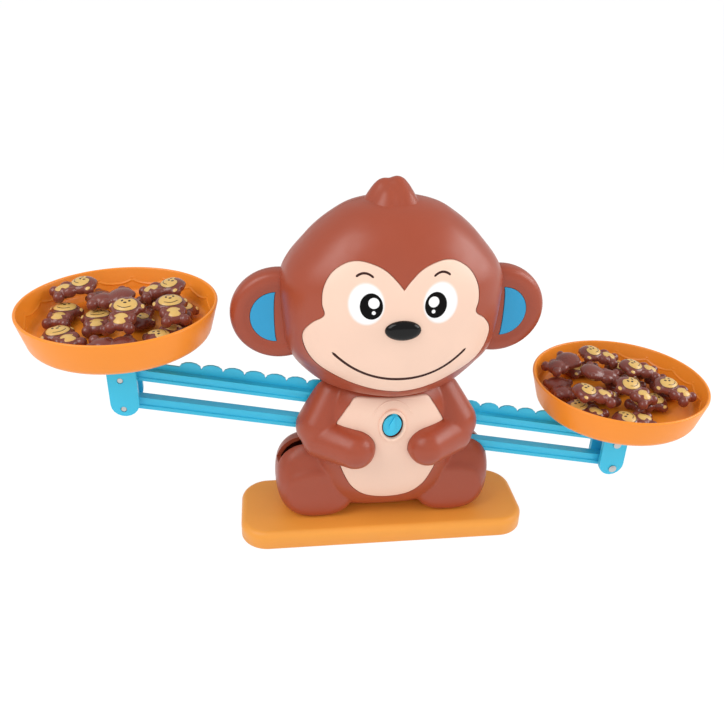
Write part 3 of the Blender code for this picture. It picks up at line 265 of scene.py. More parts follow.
# depth share from front to back, then size share, from the middle of the front round the rim
EAR_SHARES = (
    (0.00, 0.62),
    (-0.03, 0.68),
    (-0.06, 0.75),
    (-0.055, 0.83),
    (-0.01, 0.905),
    (0.09, 0.96),
    (0.24, 0.99),
    (0.50, 1.00),
    (0.78, 0.97),
    (0.94, 0.88),
    (1.00, 0.78),
)
EAR_INSERT_SIDE = 0.0638
EAR_INSERT_WIDTH = 0.0142
EAR_INSERT_HALF_HEIGHT = 0.0146
EAR_INSERT_BULGE = 0.0012

# Face panel
FACE_HALF_WIDTH = 0.0505
FACE_BOTTOM_SHARE = 0.1063
FACE_TOP_SHARE = 0.7761
FACE_SHARES = (
    (0.00, 0.815),
    (0.07, 0.875),
    (0.18, 0.945),
    (0.31, 0.985),
    (0.45, 1.00),
    (0.58, 0.975),
    (0.71, 0.905),
    (0.79, 0.80),
    (0.805, 0.69),
    (0.785, 0.605),
    (0.90, 0.53),
    (0.985, 0.44),
    (0.995, 0.35),
    (0.93, 0.24),
    (0.79, 0.145),
    (0.54, 0.05),
    (0.27, 0.008),
    (0.00, 0.00),
)

# Prints on the face
WHITE_SIDE = 0.0190
WHITE_HEIGHT = 0.1672
WHITE_HALF_WIDTH = 0.0091
WHITE_HALF_HEIGHT = 0.0107
# side, height and half sizes of each printed oval, then its layer and finish; the side is mirrored
FACE_OVALS = {
    "pupil_": (0.0165, 0.1664, 0.0058, 0.0068, 1, "ink"),
    "glint_": (0.0153, 0.1682, 0.0028, 0.0028, 2, "white"),
    "small_glint_": (0.0153, 0.1632, 0.001, 0.001, 2, "white"),
}
BROW_SIDE = 0.0197
BROW_HALF_LENGTH = 0.0044
BROW_HEIGHT = 0.1806
BROW_RISE = 0.0019
BROW_HALF_WIDTH = 0.00055
MOUTH_HALF_LENGTH = 0.0357
MOUTH_END_HEIGHT = 0.1388
MOUTH_BOTTOM = 0.1247
MOUTH_CURVE = 2.4
MOUTH_HALF_WIDTH = 0.00075

# Nose
NOSE_HEIGHT_SHARE = 0.458
NOSE_HALF_WIDTH = 0.0094
NOSE_HALF_HEIGHT = 0.0055
NOSE_RISE = 0.0036
# rise share above the face, then size share
NOSE_SHARES = (
    (-0.32, 0.93),
    (0.05, 1.00),
    (0.45, 0.93),
    (0.78, 0.72),
    (0.95, 0.42),
    (1.00, 0.14),
)

# Bowls
BOWL_RADIUS = 0.0528
BOWL_DEPTH = 0.02
BOWL_FOOT = 0.003
BOWL_DRAFT = math.radians(10.5)
BOWL_WALL = 0.0018
BOWL_FLOOR = 0.002
BOWL_CORNER = 0.006
BOWL_COLLAR_HEIGHT = 0.0014
BOWL_COLLAR_WALL = 0.0016
BOWL_INSET = 0.0026
BRACKET_TOP = 0.0226
SEAT_RADIUS = 0.013
SEAT_HEIGHT = 0.0035
FESTOONS = 16
FESTOON_CUSP = 0.0144
FESTOON_SAG = 0.0034
FESTOON_RISE = 0.0004
FESTOON_HALF_WIDTH = 0.00045

# Counters
COUNTER_THICKNESS = 0.0084
COUNTER_VOXEL = 0.0004
COUNTER_SMOOTHING = 6
# place, then half sizes, of each swelling of a counter; the side is mirrored
COUNTER_LOBES = (
    ((-0.0055, 0.0, 0.0042), (0.0077, 0.0081, 0.0042)),
    ((-0.0066, 0.0076, 0.0034), (0.0027, 0.0020, 0.0024)),
    ((-0.0123, 0.0, 0.0040), (0.0013, 0.0022, 0.0018)),
    ((0.0050, 0.0, 0.0038), (0.0062, 0.0054, 0.0038)),
    ((0.0030, 0.0048, 0.0044), (0.0036, 0.0024, 0.0030)),
    ((0.0096, 0.0048, 0.0034), (0.0030, 0.0029, 0.0032)),
)

# Prints on a counter, from its middle towards its feet and then sideways
COUNTER_PRINT_RISE = 0.00005
COUNTER_FACE_PLACE = (-0.0049, 0)
COUNTER_FACE_SIZES = (0.0050, 0.0062)
COUNTER_FACE_EDGE = 0.00028
COUNTER_NOTCH_SHARE = 0.42
COUNTER_NOTCH_SHARPNESS = 3
COUNTER_BELLY_PLACE = (0.0056, 0)
COUNTER_BELLY_SIZES = (0.0040, 0.0040)
COUNTER_PINCH_SHARE = 0.5
COUNTER_PINCH_PLACE_SHARE = 0.1
COUNTER_PINCH_SHARPNESS = 3.2
COUNTER_FINISHES = ("counter", "tan", "dark")
# place and half sizes of each printed oval, then its layer and finish; the side is mirrored
COUNTER_OVALS = (
    ((-0.0066, 0.0019), (0.00085, 0.0006), 3, "dark"),
    ((-0.0062, 0.0084), (0.0013, 0.0008), 1, "tan"),
    ((-0.0050, 0), (0.0006, 0.0009), 3, "dark"),
)
COUNTER_SMILE_PLACE = -0.0014
COUNTER_SMILE_RISE = 0.0017
COUNTER_SMILE_HALF_WIDTH = 0.0038
COUNTER_SMILE_THICKNESS = 0.0004
COUNTER_SMILE_INNER_SHARE = 0.98

# side and depth shares of the bowl's floor radius, heading and lean in degrees, and whether
# the printed side is up
COUNTER_SHARES = {
    "left": (
        (-0.67, 0.16, 262, 0, 1),
        (-0.53, -0.45, 310, 0, 1),
        (-0.24, -0.05, 276, 0, 1),
        (-0.22, 0.64, 6, 0, 0),
        (0.38, 0.58, 160, 0, 1),
        (0.20, 0.05, 92, 0, 1),
        (0.67, 0.10, 268, 0, 1),
        (0.56, -0.44, 50, 0, 1),
        (0.02, -0.68, 178, 0, 0),
        (-0.57, 0.48, 204, 8, 1),
        (-0.10, 0.18, 190, 8, 0),
        (0.13, -0.36, 262, 16, 1),
        (0.62, -0.22, 285, 10, 1),
        (0.46, 0.38, 195, 9, 1),
    ),
    "right": (
        (0.68, 0.08, 93, 0, 0),
        (0.395, 0.625, 340, 0, 1),
        (-0.22, 0.66, 355, 0, 1),
        (-0.71, 0.14, 268, 0, 0),
        (-0.58, -0.42, 320, 0, 1),
        (-0.06, -0.68, 355, 0, 1),
        (0.21, 0.23, 12, 0, 1),
        (-0.26, -0.06, 347, 0, 1),
        (0.28, -0.30, 197, 0, 1),
        (-0.59, 0.49, 208, 10, 0),
        (-0.20, 0.16, 345, 12, 0),
        (0.37, 0.23, 345, 9, 1),
        (0.62, -0.26, 303, 8, 1),
        (0.06, -0.32, 300, 14, 1),
        (-0.50, -0.36, 345, 9, 1),
        (-0.02, 0.66, 335, 7, 1),
    ),
}

# Colours as displayed, from 0 to 255
PEACH = (249, 212, 190)
PRINT_WHITE = (252, 252, 252)
DISPLAY_CURVE = 2.4
DISPLAY_OFFSET = 0.055
DISPLAY_SLOPE = 12.92
DISPLAY_KNEE = 0.04045

# name, colour, roughness, clouding, grain, coat and shine of each finish
FINISHES = {
    "brown": ("brown_moulded", (165, 74, 48), 0.36, 0.05, 0.1, 0, 0.5),
    "pale": ("pale_moulded", PEACH, 0.42, 0.015, 0.1, 0, 0.5),
    "face": ("face_moulded", PEACH, 0.42, 0.05, 0.1, 0, 0.5),
    "base": ("base_moulded", (248, 166, 66), 0.42, 0.04, 0.1, 0, 0.5),
    "bowl": ("bowl_moulded", (253, 148, 38), 0.36, 0.03, 0.1, 0, 0.5),
    "blue": ("blue_moulded", (58, 202, 240), 0.4, 0.03, 0.1, 0, 0.5),
    "ear_blue": ("ear_moulded", (36, 164, 216), 0.38, 0.03, 0.1, 0, 0.5),
    "black": ("black_gloss", (8, 7, 7), 0.07, 0.2, 0.02, 0, 0.3),
    "ink": ("black_print", (9, 7, 7), 0.5, 0.1, 0.1, 0, 0.1),
    "line": ("brown_print", (60, 32, 27), 0.5, 0.1, 0.1, 0, 0.2),
    "white": ("white_print", PRINT_WHITE, 0.35, 0.01, 0.1, 0, 0.5),
    "counter": ("counter_gloss", (124, 58, 46), 0.28, 0.1, 0.05, 0.3, 0.5),
    "tan": ("tan_print", (226, 184, 104), 0.32, 0.06, 0.05, 0.2, 0.5),
    "dark": ("dark_print", (58, 26, 22), 0.32, 0.1, 0.05, 0.2, 0.5),
    "steel": ("zinc_plated_steel", (196, 196, 194), 0.32, 0.08, 0.3, 0, 0.5),
}

# Surface textures: scale and detail of each noise, how far the gloss varies, and the bumps' depths
CLOUD_NOISE = (45, 4)
GLOSS_NOISE = (130, 3)
WAVE_NOISE = (70, 1)
GRAIN_NOISE = (2600, 2)
GLOSS_SHARES = (0.3, 0.7)
GLOSS_SPREAD = 0.12
WAVE_STRENGTH = 0.25
WAVE_DEPTH = 0.0001
GRAIN_DEPTH = 0.00004
COAT_ROUGHNESS = 0.06
# where the spray of an eye's white begins and where it is full, as shares of the white's half sizes
SPRAY_SHARES = (1.08, 0.90)

# Sides as seen from the front
SIDES = {"left": -1, "right": 1}

# Points round the shapes, rows and steps along them, and smoothing
ROUND = 96
FINE_ROUND = 160
BOWL_ROUND = 384
LEG_ROUND = 64
SMALL_ROUND = 40
OVAL_ROUND = 48
HEART_ROUND = 64
COUNTER_ROUND = 32
# share of the half sizes at each ring of a printed oval, and whether the ring is under or on top
OVAL_RING_SHARES = ((0, -1), (0.5, -1), (1, -1), (1, 1), (0.75, 1), (0.5, 1), (0.25, 1), (0, 1))
ROWS = 8
OUTLINE_ROWS = 6
EAR_ROWS = 4
STROKE_STEPS = 6
BROW_STEPS = 24
MOUTH_STEPS = 80
SMILE_STEPS = 16
WINDOW_ARC_STEPS = 48
WINDOW_RIM_STEPS = 12
BOWL_CORNER_STEPS = 10
BOWL_RIM_STEPS = 8
BOWL_WALL_STEPS = 48
SMOOTHING_FACTOR = 0.5
LINE_END_SHARE = 0.02
SMOOTH_ANGLE = math.radians(35)
EDGE_ANGLE = math.radians(40)

# Places worked out from the sizes and the frame
BASE_LOW, BASE_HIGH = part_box("base_plate")
BODY_BOTTOM = BASE_HIGH.z + PLAY
BODY_TOP = BODY_BOTTOM + BODY_HEIGHT
HEAD_BOTTOM = BODY_TOP + PLAY
HEAD_TOP = HEAD_BOTTOM + HEAD_HEIGHT
HEAD_SCREW_HEIGHT = HEAD_BOTTOM + HEAD_HEIGHT * HEAD_SCREW_HEIGHT_SHARE
EAR_HEIGHT = HEAD_BOTTOM + HEAD_HEIGHT * EAR_HEIGHT_SHARE
FACE_BOTTOM = HEAD_BOTTOM + HEAD_HEIGHT * FACE_BOTTOM_SHARE
FACE_TOP = HEAD_BOTTOM + HEAD_HEIGHT * FACE_TOP_SHARE
NOSE_HEIGHT = HEAD_BOTTOM + HEAD_HEIGHT * NOSE_HEIGHT_SHARE
UPPER_PIVOT_HEIGHT = joints["beam_tilt"]["pos_m"][2]
BOWL_SEAT = BRACKET_TOP + SEAT_HEIGHT + PLAY - BOWL_FOOT
BOWL_FLOOR_RADIUS = BOWL_RADIUS - (BOWL_DEPTH - BOWL_FOOT) * math.tan(BOWL_DRAFT) - BOWL_WALL
SCREW_BORE = SCREW_RADIUS + PLAY


# Colours and materials

def linear(colour):
    """A display colour of 0 to 255 as the linear shares that a shader takes."""
    shares = []
    for value in colour:
        share = value / 255
        if share > DISPLAY_KNEE:
            shares.append(((share + DISPLAY_OFFSET) / (1 + DISPLAY_OFFSET)) ** DISPLAY_CURVE)
        else:
            shares.append(share / DISPLAY_SLOPE)
    return shares


def scaled(colour, factor):
    return tuple(min(1, value * factor) for value in linear(colour)) + (1,)


def feed(tree, node, inputs):
    """Gives a node's inputs their values: numbers, colours, or the outputs of other nodes."""
    for name, value in inputs.items():
        if isinstance(value, bpy.types.NodeSocket):
            tree.links.new(value, node.inputs[name])
        else:
            node.inputs[name].default_value = value


def add_node(tree, kind, inputs, output, **settings):
    """Adds a shader node and returns one of its outputs."""
    node = tree.nodes.new("ShaderNode" + kind)
    for name, value in settings.items():
        setattr(node, name, value)
    feed(tree, node, inputs)
    return node.outputs[output]


def new_material(name):
    material = bpy.data.materials.new(name)
    material.use_nodes = True
    tree = material.node_tree
    return material, tree, tree.nodes["Principled BSDF"]


def moulded_plastic(name, colour, roughness, clouding, grain, coat, shine):
    """Moulded plastic: slight clouding of the colour, uneven gloss, and a fine surface grain."""
    material, tree, shader = new_material(name)
    place = add_node(tree, "TexCoord", {}, "Object")

    def noise(scale, detail):
        return add_node(tree, "TexNoise", {"Scale": scale, "Detail": detail, "Vector": place}, "Fac")

    tint = add_node(tree, "Mix", {
        "Factor": noise(*CLOUD_NOISE),
        "A": scaled(colour, 1 - clouding),
        "B": scaled(colour, 1 + clouding),
    }, "Result", data_type="RGBA")
    gloss = add_node(tree, "MapRange", {
        "Value": noise(*GLOSS_NOISE),
        "From Min": GLOSS_SHARES[0],
        "From Max": GLOSS_SHARES[1],
        "To Min": roughness * (1 - GLOSS_SPREAD),
        "To Max": roughness * (1 + GLOSS_SPREAD),
    }, "Result")
    waves = {"Strength": WAVE_STRENGTH, "Distance": WAVE_DEPTH, "Height": noise(*WAVE_NOISE)}
    fine = {"Strength": grain, "Distance": GRAIN_DEPTH, "Height": noise(*GRAIN_NOISE)}
    fine["Normal"] = add_node(tree, "Bump", waves, "Normal")
    feed(tree, shader, {
        "Base Color": tint,
        "Roughness": gloss,
        "Normal": add_node(tree, "Bump", fine, "Normal"),
        "Coat Weight": coat,
        "Coat Roughness": COAT_ROUGHNESS,
        "Specular IOR Level": shine,
    })
    return material


def turn_to_steel(material):
    """Makes a finish metallic, as zinc-plated steel is."""
    material.node_tree.nodes["Principled BSDF"].inputs["Metallic"].default_value = 1


def spray_eye_whites(material):
    """Sprays the two soft-edged whites of the eyes on the face panel's plastic."""
    tree = material.node_tree
    shader = tree.nodes["Principled BSDF"]
    plain = shader.inputs["Base Color"].links[0].from_socket
    place = add_node(tree, "TexCoord", {}, "Object")
    one_side = add_node(tree, "VectorMath", {0: place}, "Vector", operation="ABSOLUTE")
    scale = (1 / WHITE_HALF_WIDTH, 0, 1 / WHITE_HALF_HEIGHT)
    from_middle = add_node(tree, "Mapping", {
        "Vector": one_side,
        "Scale": scale,
        "Location": (-WHITE_SIDE * scale[0], 0, -WHITE_HEIGHT * scale[2]),
    }, "Vector")
    away = add_node(tree, "VectorMath", {0: from_middle}, "Value", operation="LENGTH")
    spray = add_node(tree, "MapRange", {
        "Value": away,
        "From Min": SPRAY_SHARES[0],
        "From Max": SPRAY_SHARES[1],
    }, "Result", interpolation_type="SMOOTHSTEP")
    sprayed = add_node(tree, "Mix", {
        "Factor": spray,
        "A": plain,
        "B": scaled(PRINT_WHITE, 1),
    }, "Result", data_type="RGBA")
    feed(tree, shader, {"Base Color": sprayed})


materials = {key: moulded_plastic(*finish) for key, finish in FINISHES.items()}
turn_to_steel(materials["steel"])
spray_eye_whites(materials["face"])


# Mesh helpers

def placed(name, data):
    """A new object in the scene."""
    result = bpy.data.objects.new(name, data)
    scene.collection.objects.link(result)
    return result


def mesh_from(name, shape):
    """A mesh of what a bmesh holds, which is then freed."""
    mesh = bpy.data.meshes.new(name)
    shape.to_mesh(mesh)
    shape.free()
    return mesh


def make_object(name, points, faces):
    """An object of quads, triangles and end caps, turned so that its faces point out."""
    mesh = bpy.data.meshes.new(name)
    mesh.from_pydata([tuple(point) for point in points], [], faces)
    shape = bmesh.new()
    shape.from_mesh(mesh)
    bmesh.ops.recalc_face_normals(shape, faces=shape.faces)
    shape.to_mesh(mesh)
    shape.free()
    return placed(name, mesh)


def band(low, high):
    """The faces between two rings, either of which may be a single point."""
    faces = []
    for step in range(max(len(low), len(high))):
        first = [low[step % len(low)], low[(step + 1) % len(low)]]
        second = [high[(step + 1) % len(high)], high[step % len(high)]]
        faces.append(tuple(dict.fromkeys(first + second)))
    return faces


def loft(name, rings):
    """A closed solid through rings; a ring of one point closes to a tip, and other ends are capped."""
    points = []
    loops = []
    for ring in rings:
        loops.append(range(len(points), len(points) + len(ring)))
        points.extend(ring)
    faces = []
    for low, high in zip(loops, loops[1:]):
        faces += band(low, high)
    faces += [tuple(loop) for loop in (loops[0], loops[-1]) if len(loop) > 1]
    return make_object(name, points, faces)


def circle(radius, count, height=0.0):
    turns = (2 * math.pi * step / count for step in range(count))
    return [(radius * math.cos(turn), radius * math.sin(turn), height) for turn in turns]


def turned(name, profile, count):
    """A solid turned about Z from a profile of (radius, height) that starts and ends on the axis."""
    rings = [[(0, 0, profile[0][1])]]
    rings += [circle(radius, count, height) for radius, height in profile[1:-1]]
    rings.append([(0, 0, profile[-1][1])])
    return loft(name, rings)


def spread(steps):
    """Even shares from -1 to 1, both ends included."""
    return [2 * step / steps - 1 for step in range(steps + 1)]


def towards(points, centre, share):
    """Flat points drawn in towards a centre; a share of 1 leaves them where they are."""
    return [(centre[0] + (x - centre[0]) * share, centre[1] + (y - centre[1]) * share) for x, y in points]


def section(outline, y, centre=(0, 0)):
    """An outline of (x, z) round a centre, stood up at a depth."""
    return [(centre[0] + x, y, centre[1] + z) for x, z in outline]


def arc(centre, radius, start, end, steps):
    """Points on an arc in a plane, both ends included; angles in degrees."""
    turns = (math.radians(start + (end - start) * step / steps) for step in range(steps + 1))
    return [(centre[0] + radius * math.cos(turn), centre[1] + radius * math.sin(turn)) for turn in turns]


def signed_power(value, power):
    return math.copysign(abs(value) ** power, value)


def superellipse(half_width, below, above, roundness, count):
    points = []
    for step in range(count):
        turn = 2 * math.pi * step / count
        across = half_width * signed_power(math.cos(turn), 2 / roundness)
        reach = above if math.sin(turn) > 0 else below
        points.append((across, reach * signed_power(math.sin(turn), 2 / roundness)))
    return points


def ellipse(half_width, half_height):
    return superellipse(half_width, half_height, half_height, 2, ROUND)


def oval(centre, half_length, half_width, count=COUNTER_ROUND, share=1):
    """Flat points on an oval, or on one drawn in towards its centre."""
    return [(centre[0] + half_length * x, centre[1] + half_width * y) for x, y, _ in circle(share, count)]


def smooth_rows(table, steps):
    """A table's rows joined by a smooth curve through all of them."""
    rows = np.array(table, float)
    padded = np.vstack([2 * rows[0] - rows[1], rows, 2 * rows[-1] - rows[-2]])
    result = []
    for before, start, end, after in zip(padded, padded[1:], padded[2:], padded[3:]):
        bend = 2 * before - 5 * start + 4 * end - after
        swing = 3 * start - before - 3 * end + after
        for step in range(steps):
            share = step / steps
            value = 2 * start + (end - before) * share + bend * share ** 2 + swing * share ** 3
            result.append(value / 2)
    result.append(rows[-1])
    return np.array(result)


def prism(name, outline, start, end, axis="Y"):
    """An outline pushed along an axis. Along Y the outline is (x, z), along Z (x, y)."""
    if axis == "Y":
        return loft(name, [section(outline, level) for level in (start, end)])
    return loft(name, [[(x, y, level) for x, y in outline] for level in (start, end)])


def cylinder(name, radius, start, end, centre=(0, 0), axis="Y", count=SMALL_ROUND):
    return prism(name, oval(centre, radius, radius, count), start, end, axis)


def box(name, low, high):
    outline = [(low[0], low[2]), (high[0], low[2]), (high[0], high[2]), (low[0], high[2])]
    return prism(name, outline, low[1], high[1])


def ellipsoid(name, centre, radii, count):
    steps = count // 2
    turns = [math.pi * step / steps for step in range(steps + 1)]
    result = turned(name, [(math.sin(turn), -math.cos(turn)) for turn in turns], count)
    result.data.transform(Matrix.Translation(centre) @ Matrix.Diagonal((*radii, 1)))
    return result


def applied(target):
    """Replaces an object's mesh by what its modifiers make of it."""
    view = bpy.context.evaluated_depsgraph_get()
    solved = bpy.data.meshes.new_from_object(target.evaluated_get(view))
    target.modifiers.clear()
    target.data = solved
    return target


def combine(target, tool, operation):
    modifier = target.modifiers.new("combine", "BOOLEAN")
    modifier.operation = operation
    modifier.solver = "MANIFOLD"
    modifier.object = tool
    applied(target)
    bpy.data.objects.remove(tool)


def unite(target, *tools):
    for tool in tools:
        combine(target, tool, "UNION")


def cut(target, *tools):
    for tool in tools:
        combine(target, tool, "DIFFERENCE")


def overlap(target, tool):
    combine(target, tool, "INTERSECT")


def joined(name, pieces):
    """Several meshes as one object, without a union."""
    shape = bmesh.new()
    for piece in pieces:
        shape.from_mesh(piece.data)
    for piece in pieces:
        bpy.data.objects.remove(piece)
    return placed(name, mesh_from(name, shape))


def surface_of(piece):
    return BVHTree.FromObject(piece, bpy.context.evaluated_depsgraph_get())


def height_of(surface, x, y, start):
    """The height at which a surface is met from above, or zero beside it."""
    hit = surface.ray_cast(Vector((x, y, start)), Vector((0, 0, -1)))[0]
    return hit.z if hit is not None else 0.0


def soft_union(name, pieces, voxel, passes):
    """A union of closed shapes whose creases are softened as a mould's are."""
    result = joined(name, pieces)
    remesh = result.modifiers.new("remesh", "REMESH")
    remesh.mode = "VOXEL"
    remesh.voxel_size = voxel
    smooth = result.modifiers.new("smooth", "SMOOTH")
    smooth.factor = SMOOTHING_FACTOR
    smooth.iterations = passes
    return applied(result)


def rounded(piece, width, segments=2):
    """Lets a piece's sharp edges be rounded."""
    bevel = piece.modifiers.new("edge", "BEVEL")
    bevel.width = width
    bevel.segments = segments
    bevel.limit_method = "ANGLE"
    bevel.angle_limit = EDGE_ANGLE


def duplicate(source, name):
    result = source.copy()
    result.data = source.data.copy()
    result.name = name
    scene.collection.objects.link(result)
    return result


def dress(piece, name, finish, node=None, body="body"):
    """Names a piece, gives it one finish, and lets it ride on a body, often in place of a node."""
    piece.name = name
    piece.data.name = name
    piece.data.materials.clear()
    piece.data.materials.append(materials[finish])
    piece.data.shade_smooth()
    piece.data.set_sharp_from_angle(angle=SMOOTH_ANGLE)
    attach(piece, body)
    if node:
        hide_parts(node)


# Surfaces of the head and the body

def figure_rings(rows, sizes, bottom, height, roundness, count, grow=0.0):
    half_width, front, back = sizes
    lowest = bottom - grow
    highest = bottom + height + grow
    rings = []
    for level, wide, fore, aft, corner in rows:
        z = lowest + level * (highest - lowest)
        reaches = (half_width * wide + grow, front * fore + grow, back * aft + grow)
        rings.append([(x, y, z) for x, y in superellipse(*reaches, roundness * corner, count)])
    return rings


HEAD_FIGURE = (
    smooth_rows(HEAD_SHARES, ROWS), (HEAD_HALF_WIDTH, HEAD_FRONT, HEAD_BACK),
    HEAD_BOTTOM, HEAD_HEIGHT, HEAD_ROUNDNESS,
)
TORSO_FIGURE = (
    smooth_rows(TORSO_SHARES, ROWS), (BODY_HALF_WIDTH, BODY_FRONT, BODY_BACK),
    BODY_BOTTOM, BODY_HEIGHT, BODY_ROUNDNESS,
)


def tuft_rise(x, y):
    """How far the blended locks of hair rise above the crown at a place."""
    total = 0.0
    for side, forward, radius, rise in TUFT_SHARES:
        reach = TUFT_RADIUS * radius
        away = math.hypot(x - TUFT_RADIUS * side, y + TUFT_RADIUS * forward) / reach
        lock = TUFT_RISE * rise * max(0.0, 1 - away * away) ** TUFT_SOFTNESS
        total += math.expm1(lock / TUFT_BLEND)
    return TUFT_BLEND * math.log1p(total)


def head_surface(count=FINE_ROUND, grow=0.0):
    rings = figure_rings(*HEAD_FIGURE, count, grow)
    crown = [(1, share, share, share, 1) for share in CROWN_SHARES]
    rings += figure_rings(crown, *HEAD_FIGURE[1:], count, grow)
    rings.append([(0, 0, HEAD_TOP + grow)])
    return loft("head", rings)


def tuft_surface(head):
    """The tuft of hair, which follows the crown and stands up from it."""
    crown = surface_of(head)
    steps = 40
    rings = [[(0, 0, HEAD_TOP - TUFT_RADIUS)], circle(TUFT_RADIUS, ROUND, HEAD_TOP - TUFT_RADIUS / 2)]
    for step in range(steps + 1):
        ring = []
        for x, y, _ in circle(TUFT_RADIUS * (1 - step / steps), ROUND) if step < steps else [(0, 0, 0)]:
            height = height_of(crown, x, y, HEAD_TOP * 2)
            ring.append((x, y, height - TUFT_FOOT + tuft_rise(x, y)))
        rings.append(ring)
    return loft("tuft", rings)


def torso_surface(count=ROUND, grow=0.0):
    return loft("torso", figure_rings(*TORSO_FIGURE, count, grow))


def front_depth(rows, sizes, bottom, height, roundness):
    """A function that gives how far forward a lofted front lies at a place seen from the front."""
    def depth(x, z):
        level = (z - bottom) / height
        half_width = sizes[0] * np.interp(level, rows[:, 0], rows[:, 1])
        front = sizes[1] * np.interp(level, rows[:, 0], rows[:, 2])
        corner = roundness * np.interp(level, rows[:, 0], rows[:, 4])
        across = min(1.0, abs(x) / half_width)
        return front * (1 - across ** corner) ** (1 / corner)
    return depth


head_depth = front_depth(*HEAD_FIGURE)
torso_depth = front_depth(*TORSO_FIGURE)


def mirrored_outline(shares, half_width, bottom, top):
    """A symmetrical smooth outline; the first point stays sharp when it is a notch."""
    half = smooth_rows(shares, OUTLINE_ROWS)
    right = [(half_width * across, bottom + (top - bottom) * up) for across, up in half]
    left = [(-x, z) for x, z in reversed(right[1:-1])]
    return right + left


def grown_outline(points, grow):
    """Moves a clockwise outline outwards by a distance."""
    count = len(points)
    result = []
    for index, point in enumerate(points):
        before = Vector(points[index - 1])
        after = Vector(points[(index + 1) % count])
        along = (after - before).normalized()
        result.append((point[0] - along.y * grow, point[1] + along.x * grow))
    return result


def face_outline(grow=0.0):
    return grown_outline(mirrored_outline(FACE_SHARES, FACE_HALF_WIDTH, FACE_BOTTOM, FACE_TOP), grow)


def belly_outline(grow=0.0):
    return grown_outline(mirrored_outline(BELLY_SHARES, BELLY_HALF_WIDTH, BELLY_BOTTOM, BELLY_TOP), grow)


def draped(points, depth, rise):
    """Flat points laid on a curved front and lifted off it."""
    return [(x, -depth(x, z) - rise, z) for x, z in points]


def draped_panel(outline, centre, depth):
    """A panel that follows a curved front, with a rounded edge."""
    steps = 5
    spokes = 14
    rings = [draped([centre], depth, -INLAY_DEPTH)]
    for spoke in range(1, spokes + 1):
        rings.append(draped(towards(outline, centre, spoke / spokes), depth, -INLAY_DEPTH))
    for step in range(steps + 1):
        turn = math.pi / 2 * step / steps
        inset = INLAY_EDGE * (1 - math.cos(turn))
        rise = INLAY_PROUD - INLAY_EDGE * (1 - math.sin(turn))
        rings.append(draped(grown_outline(outline, -inset), depth, rise))
    inner = grown_outline(outline, -INLAY_EDGE)
    for spoke in range(1, spokes):
        rings.append(draped(towards(inner, centre, 1 - spoke / spokes), depth, INLAY_PROUD))
    rings.append(draped([centre], depth, INLAY_PROUD))
    return loft("panel", rings)


def draped_oval(name, centre, half_width, half_height, rise, finish):
    """A thin printed oval on the face panel."""
    rings = []
    for share, level in OVAL_RING_SHARES:
        points = oval(centre, half_width, half_height, OVAL_ROUND, share) if share else [centre]
        rings.append(draped(points, face_depth, rise if level > 0 else -PRINT_PROUD))
    dress(loft(name, rings), name, finish)


def draped_stroke(name, path, half_width, depth, rise, finish):
    """A thin raised or printed line with round ends that follows a curved front."""
    top = spread(STROKE_STEPS)
    rings = []
    lengths = [0.0]
    for start, end in zip(path, path[1:]):
        lengths.append(lengths[-1] + math.dist(start, end))
    for index, (x, z) in enumerate(path):
        before = Vector(path[max(index - 1, 0)])
        after = Vector(path[min(index + 1, len(path) - 1)])
        along = (after - before).normalized()
        normal = Vector((-along.y, along.x))
        to_end = min(lengths[index], lengths[-1] - lengths[index]) / half_width
        width = half_width * math.sqrt(max(LINE_END_SHARE, 1 - max(0.0, 1 - to_end) ** 2))
        ring = []
        for step, share in enumerate(top + top[::-1]):
            px = x + normal.x * width * share
            pz = z + normal.y * width * share
            lift = rise * math.sqrt(max(0.0, 1 - share * share)) + PRINT_PROUD / 2
            ring.append((px, -depth(px, pz) - (lift if step < len(top) else -PRINT_PROUD), pz))
        rings.append(ring)
    dress(loft(name, rings), name, finish)


def split_shells(whole, word, parting, reach, top):
    """Parts a hollow figure into its front and back shells."""
    back = duplicate(whole, "back")
    overlap(whole, box("front_half", (-reach, -reach, 0), (reach, parting - PLAY / 2, top)))
    overlap(back, box("back_half", (-reach, parting + PLAY / 2, 0), (reach, reach, top)))
    for piece, half in ((whole, "_front"), (back, "_back")):
        dress(piece, word + half, "brown", word + half + "_shell")


def cut_screw_well(shell, place, seat, back):
    cut(shell, cylinder("hole", SCREW_BORE, seat - SCREW_LENGTH - PLAY, seat * 2, place))
    cut(shell, cylinder("well", SCREW_HEAD_RADIUS + PLAY, seat, back + OVERRUN, place))


# Base

def rounded_rectangle(length, depth, corner, steps):
    points = []
    for index, (side, end) in enumerate(((1, 1), (-1, 1), (-1, -1), (1, -1))):
        centre = (side * (length / 2 - corner), end * (depth / 2 - corner))
        points += arc(centre, corner, 90 * index, 90 * (index + 1), steps)
    return points


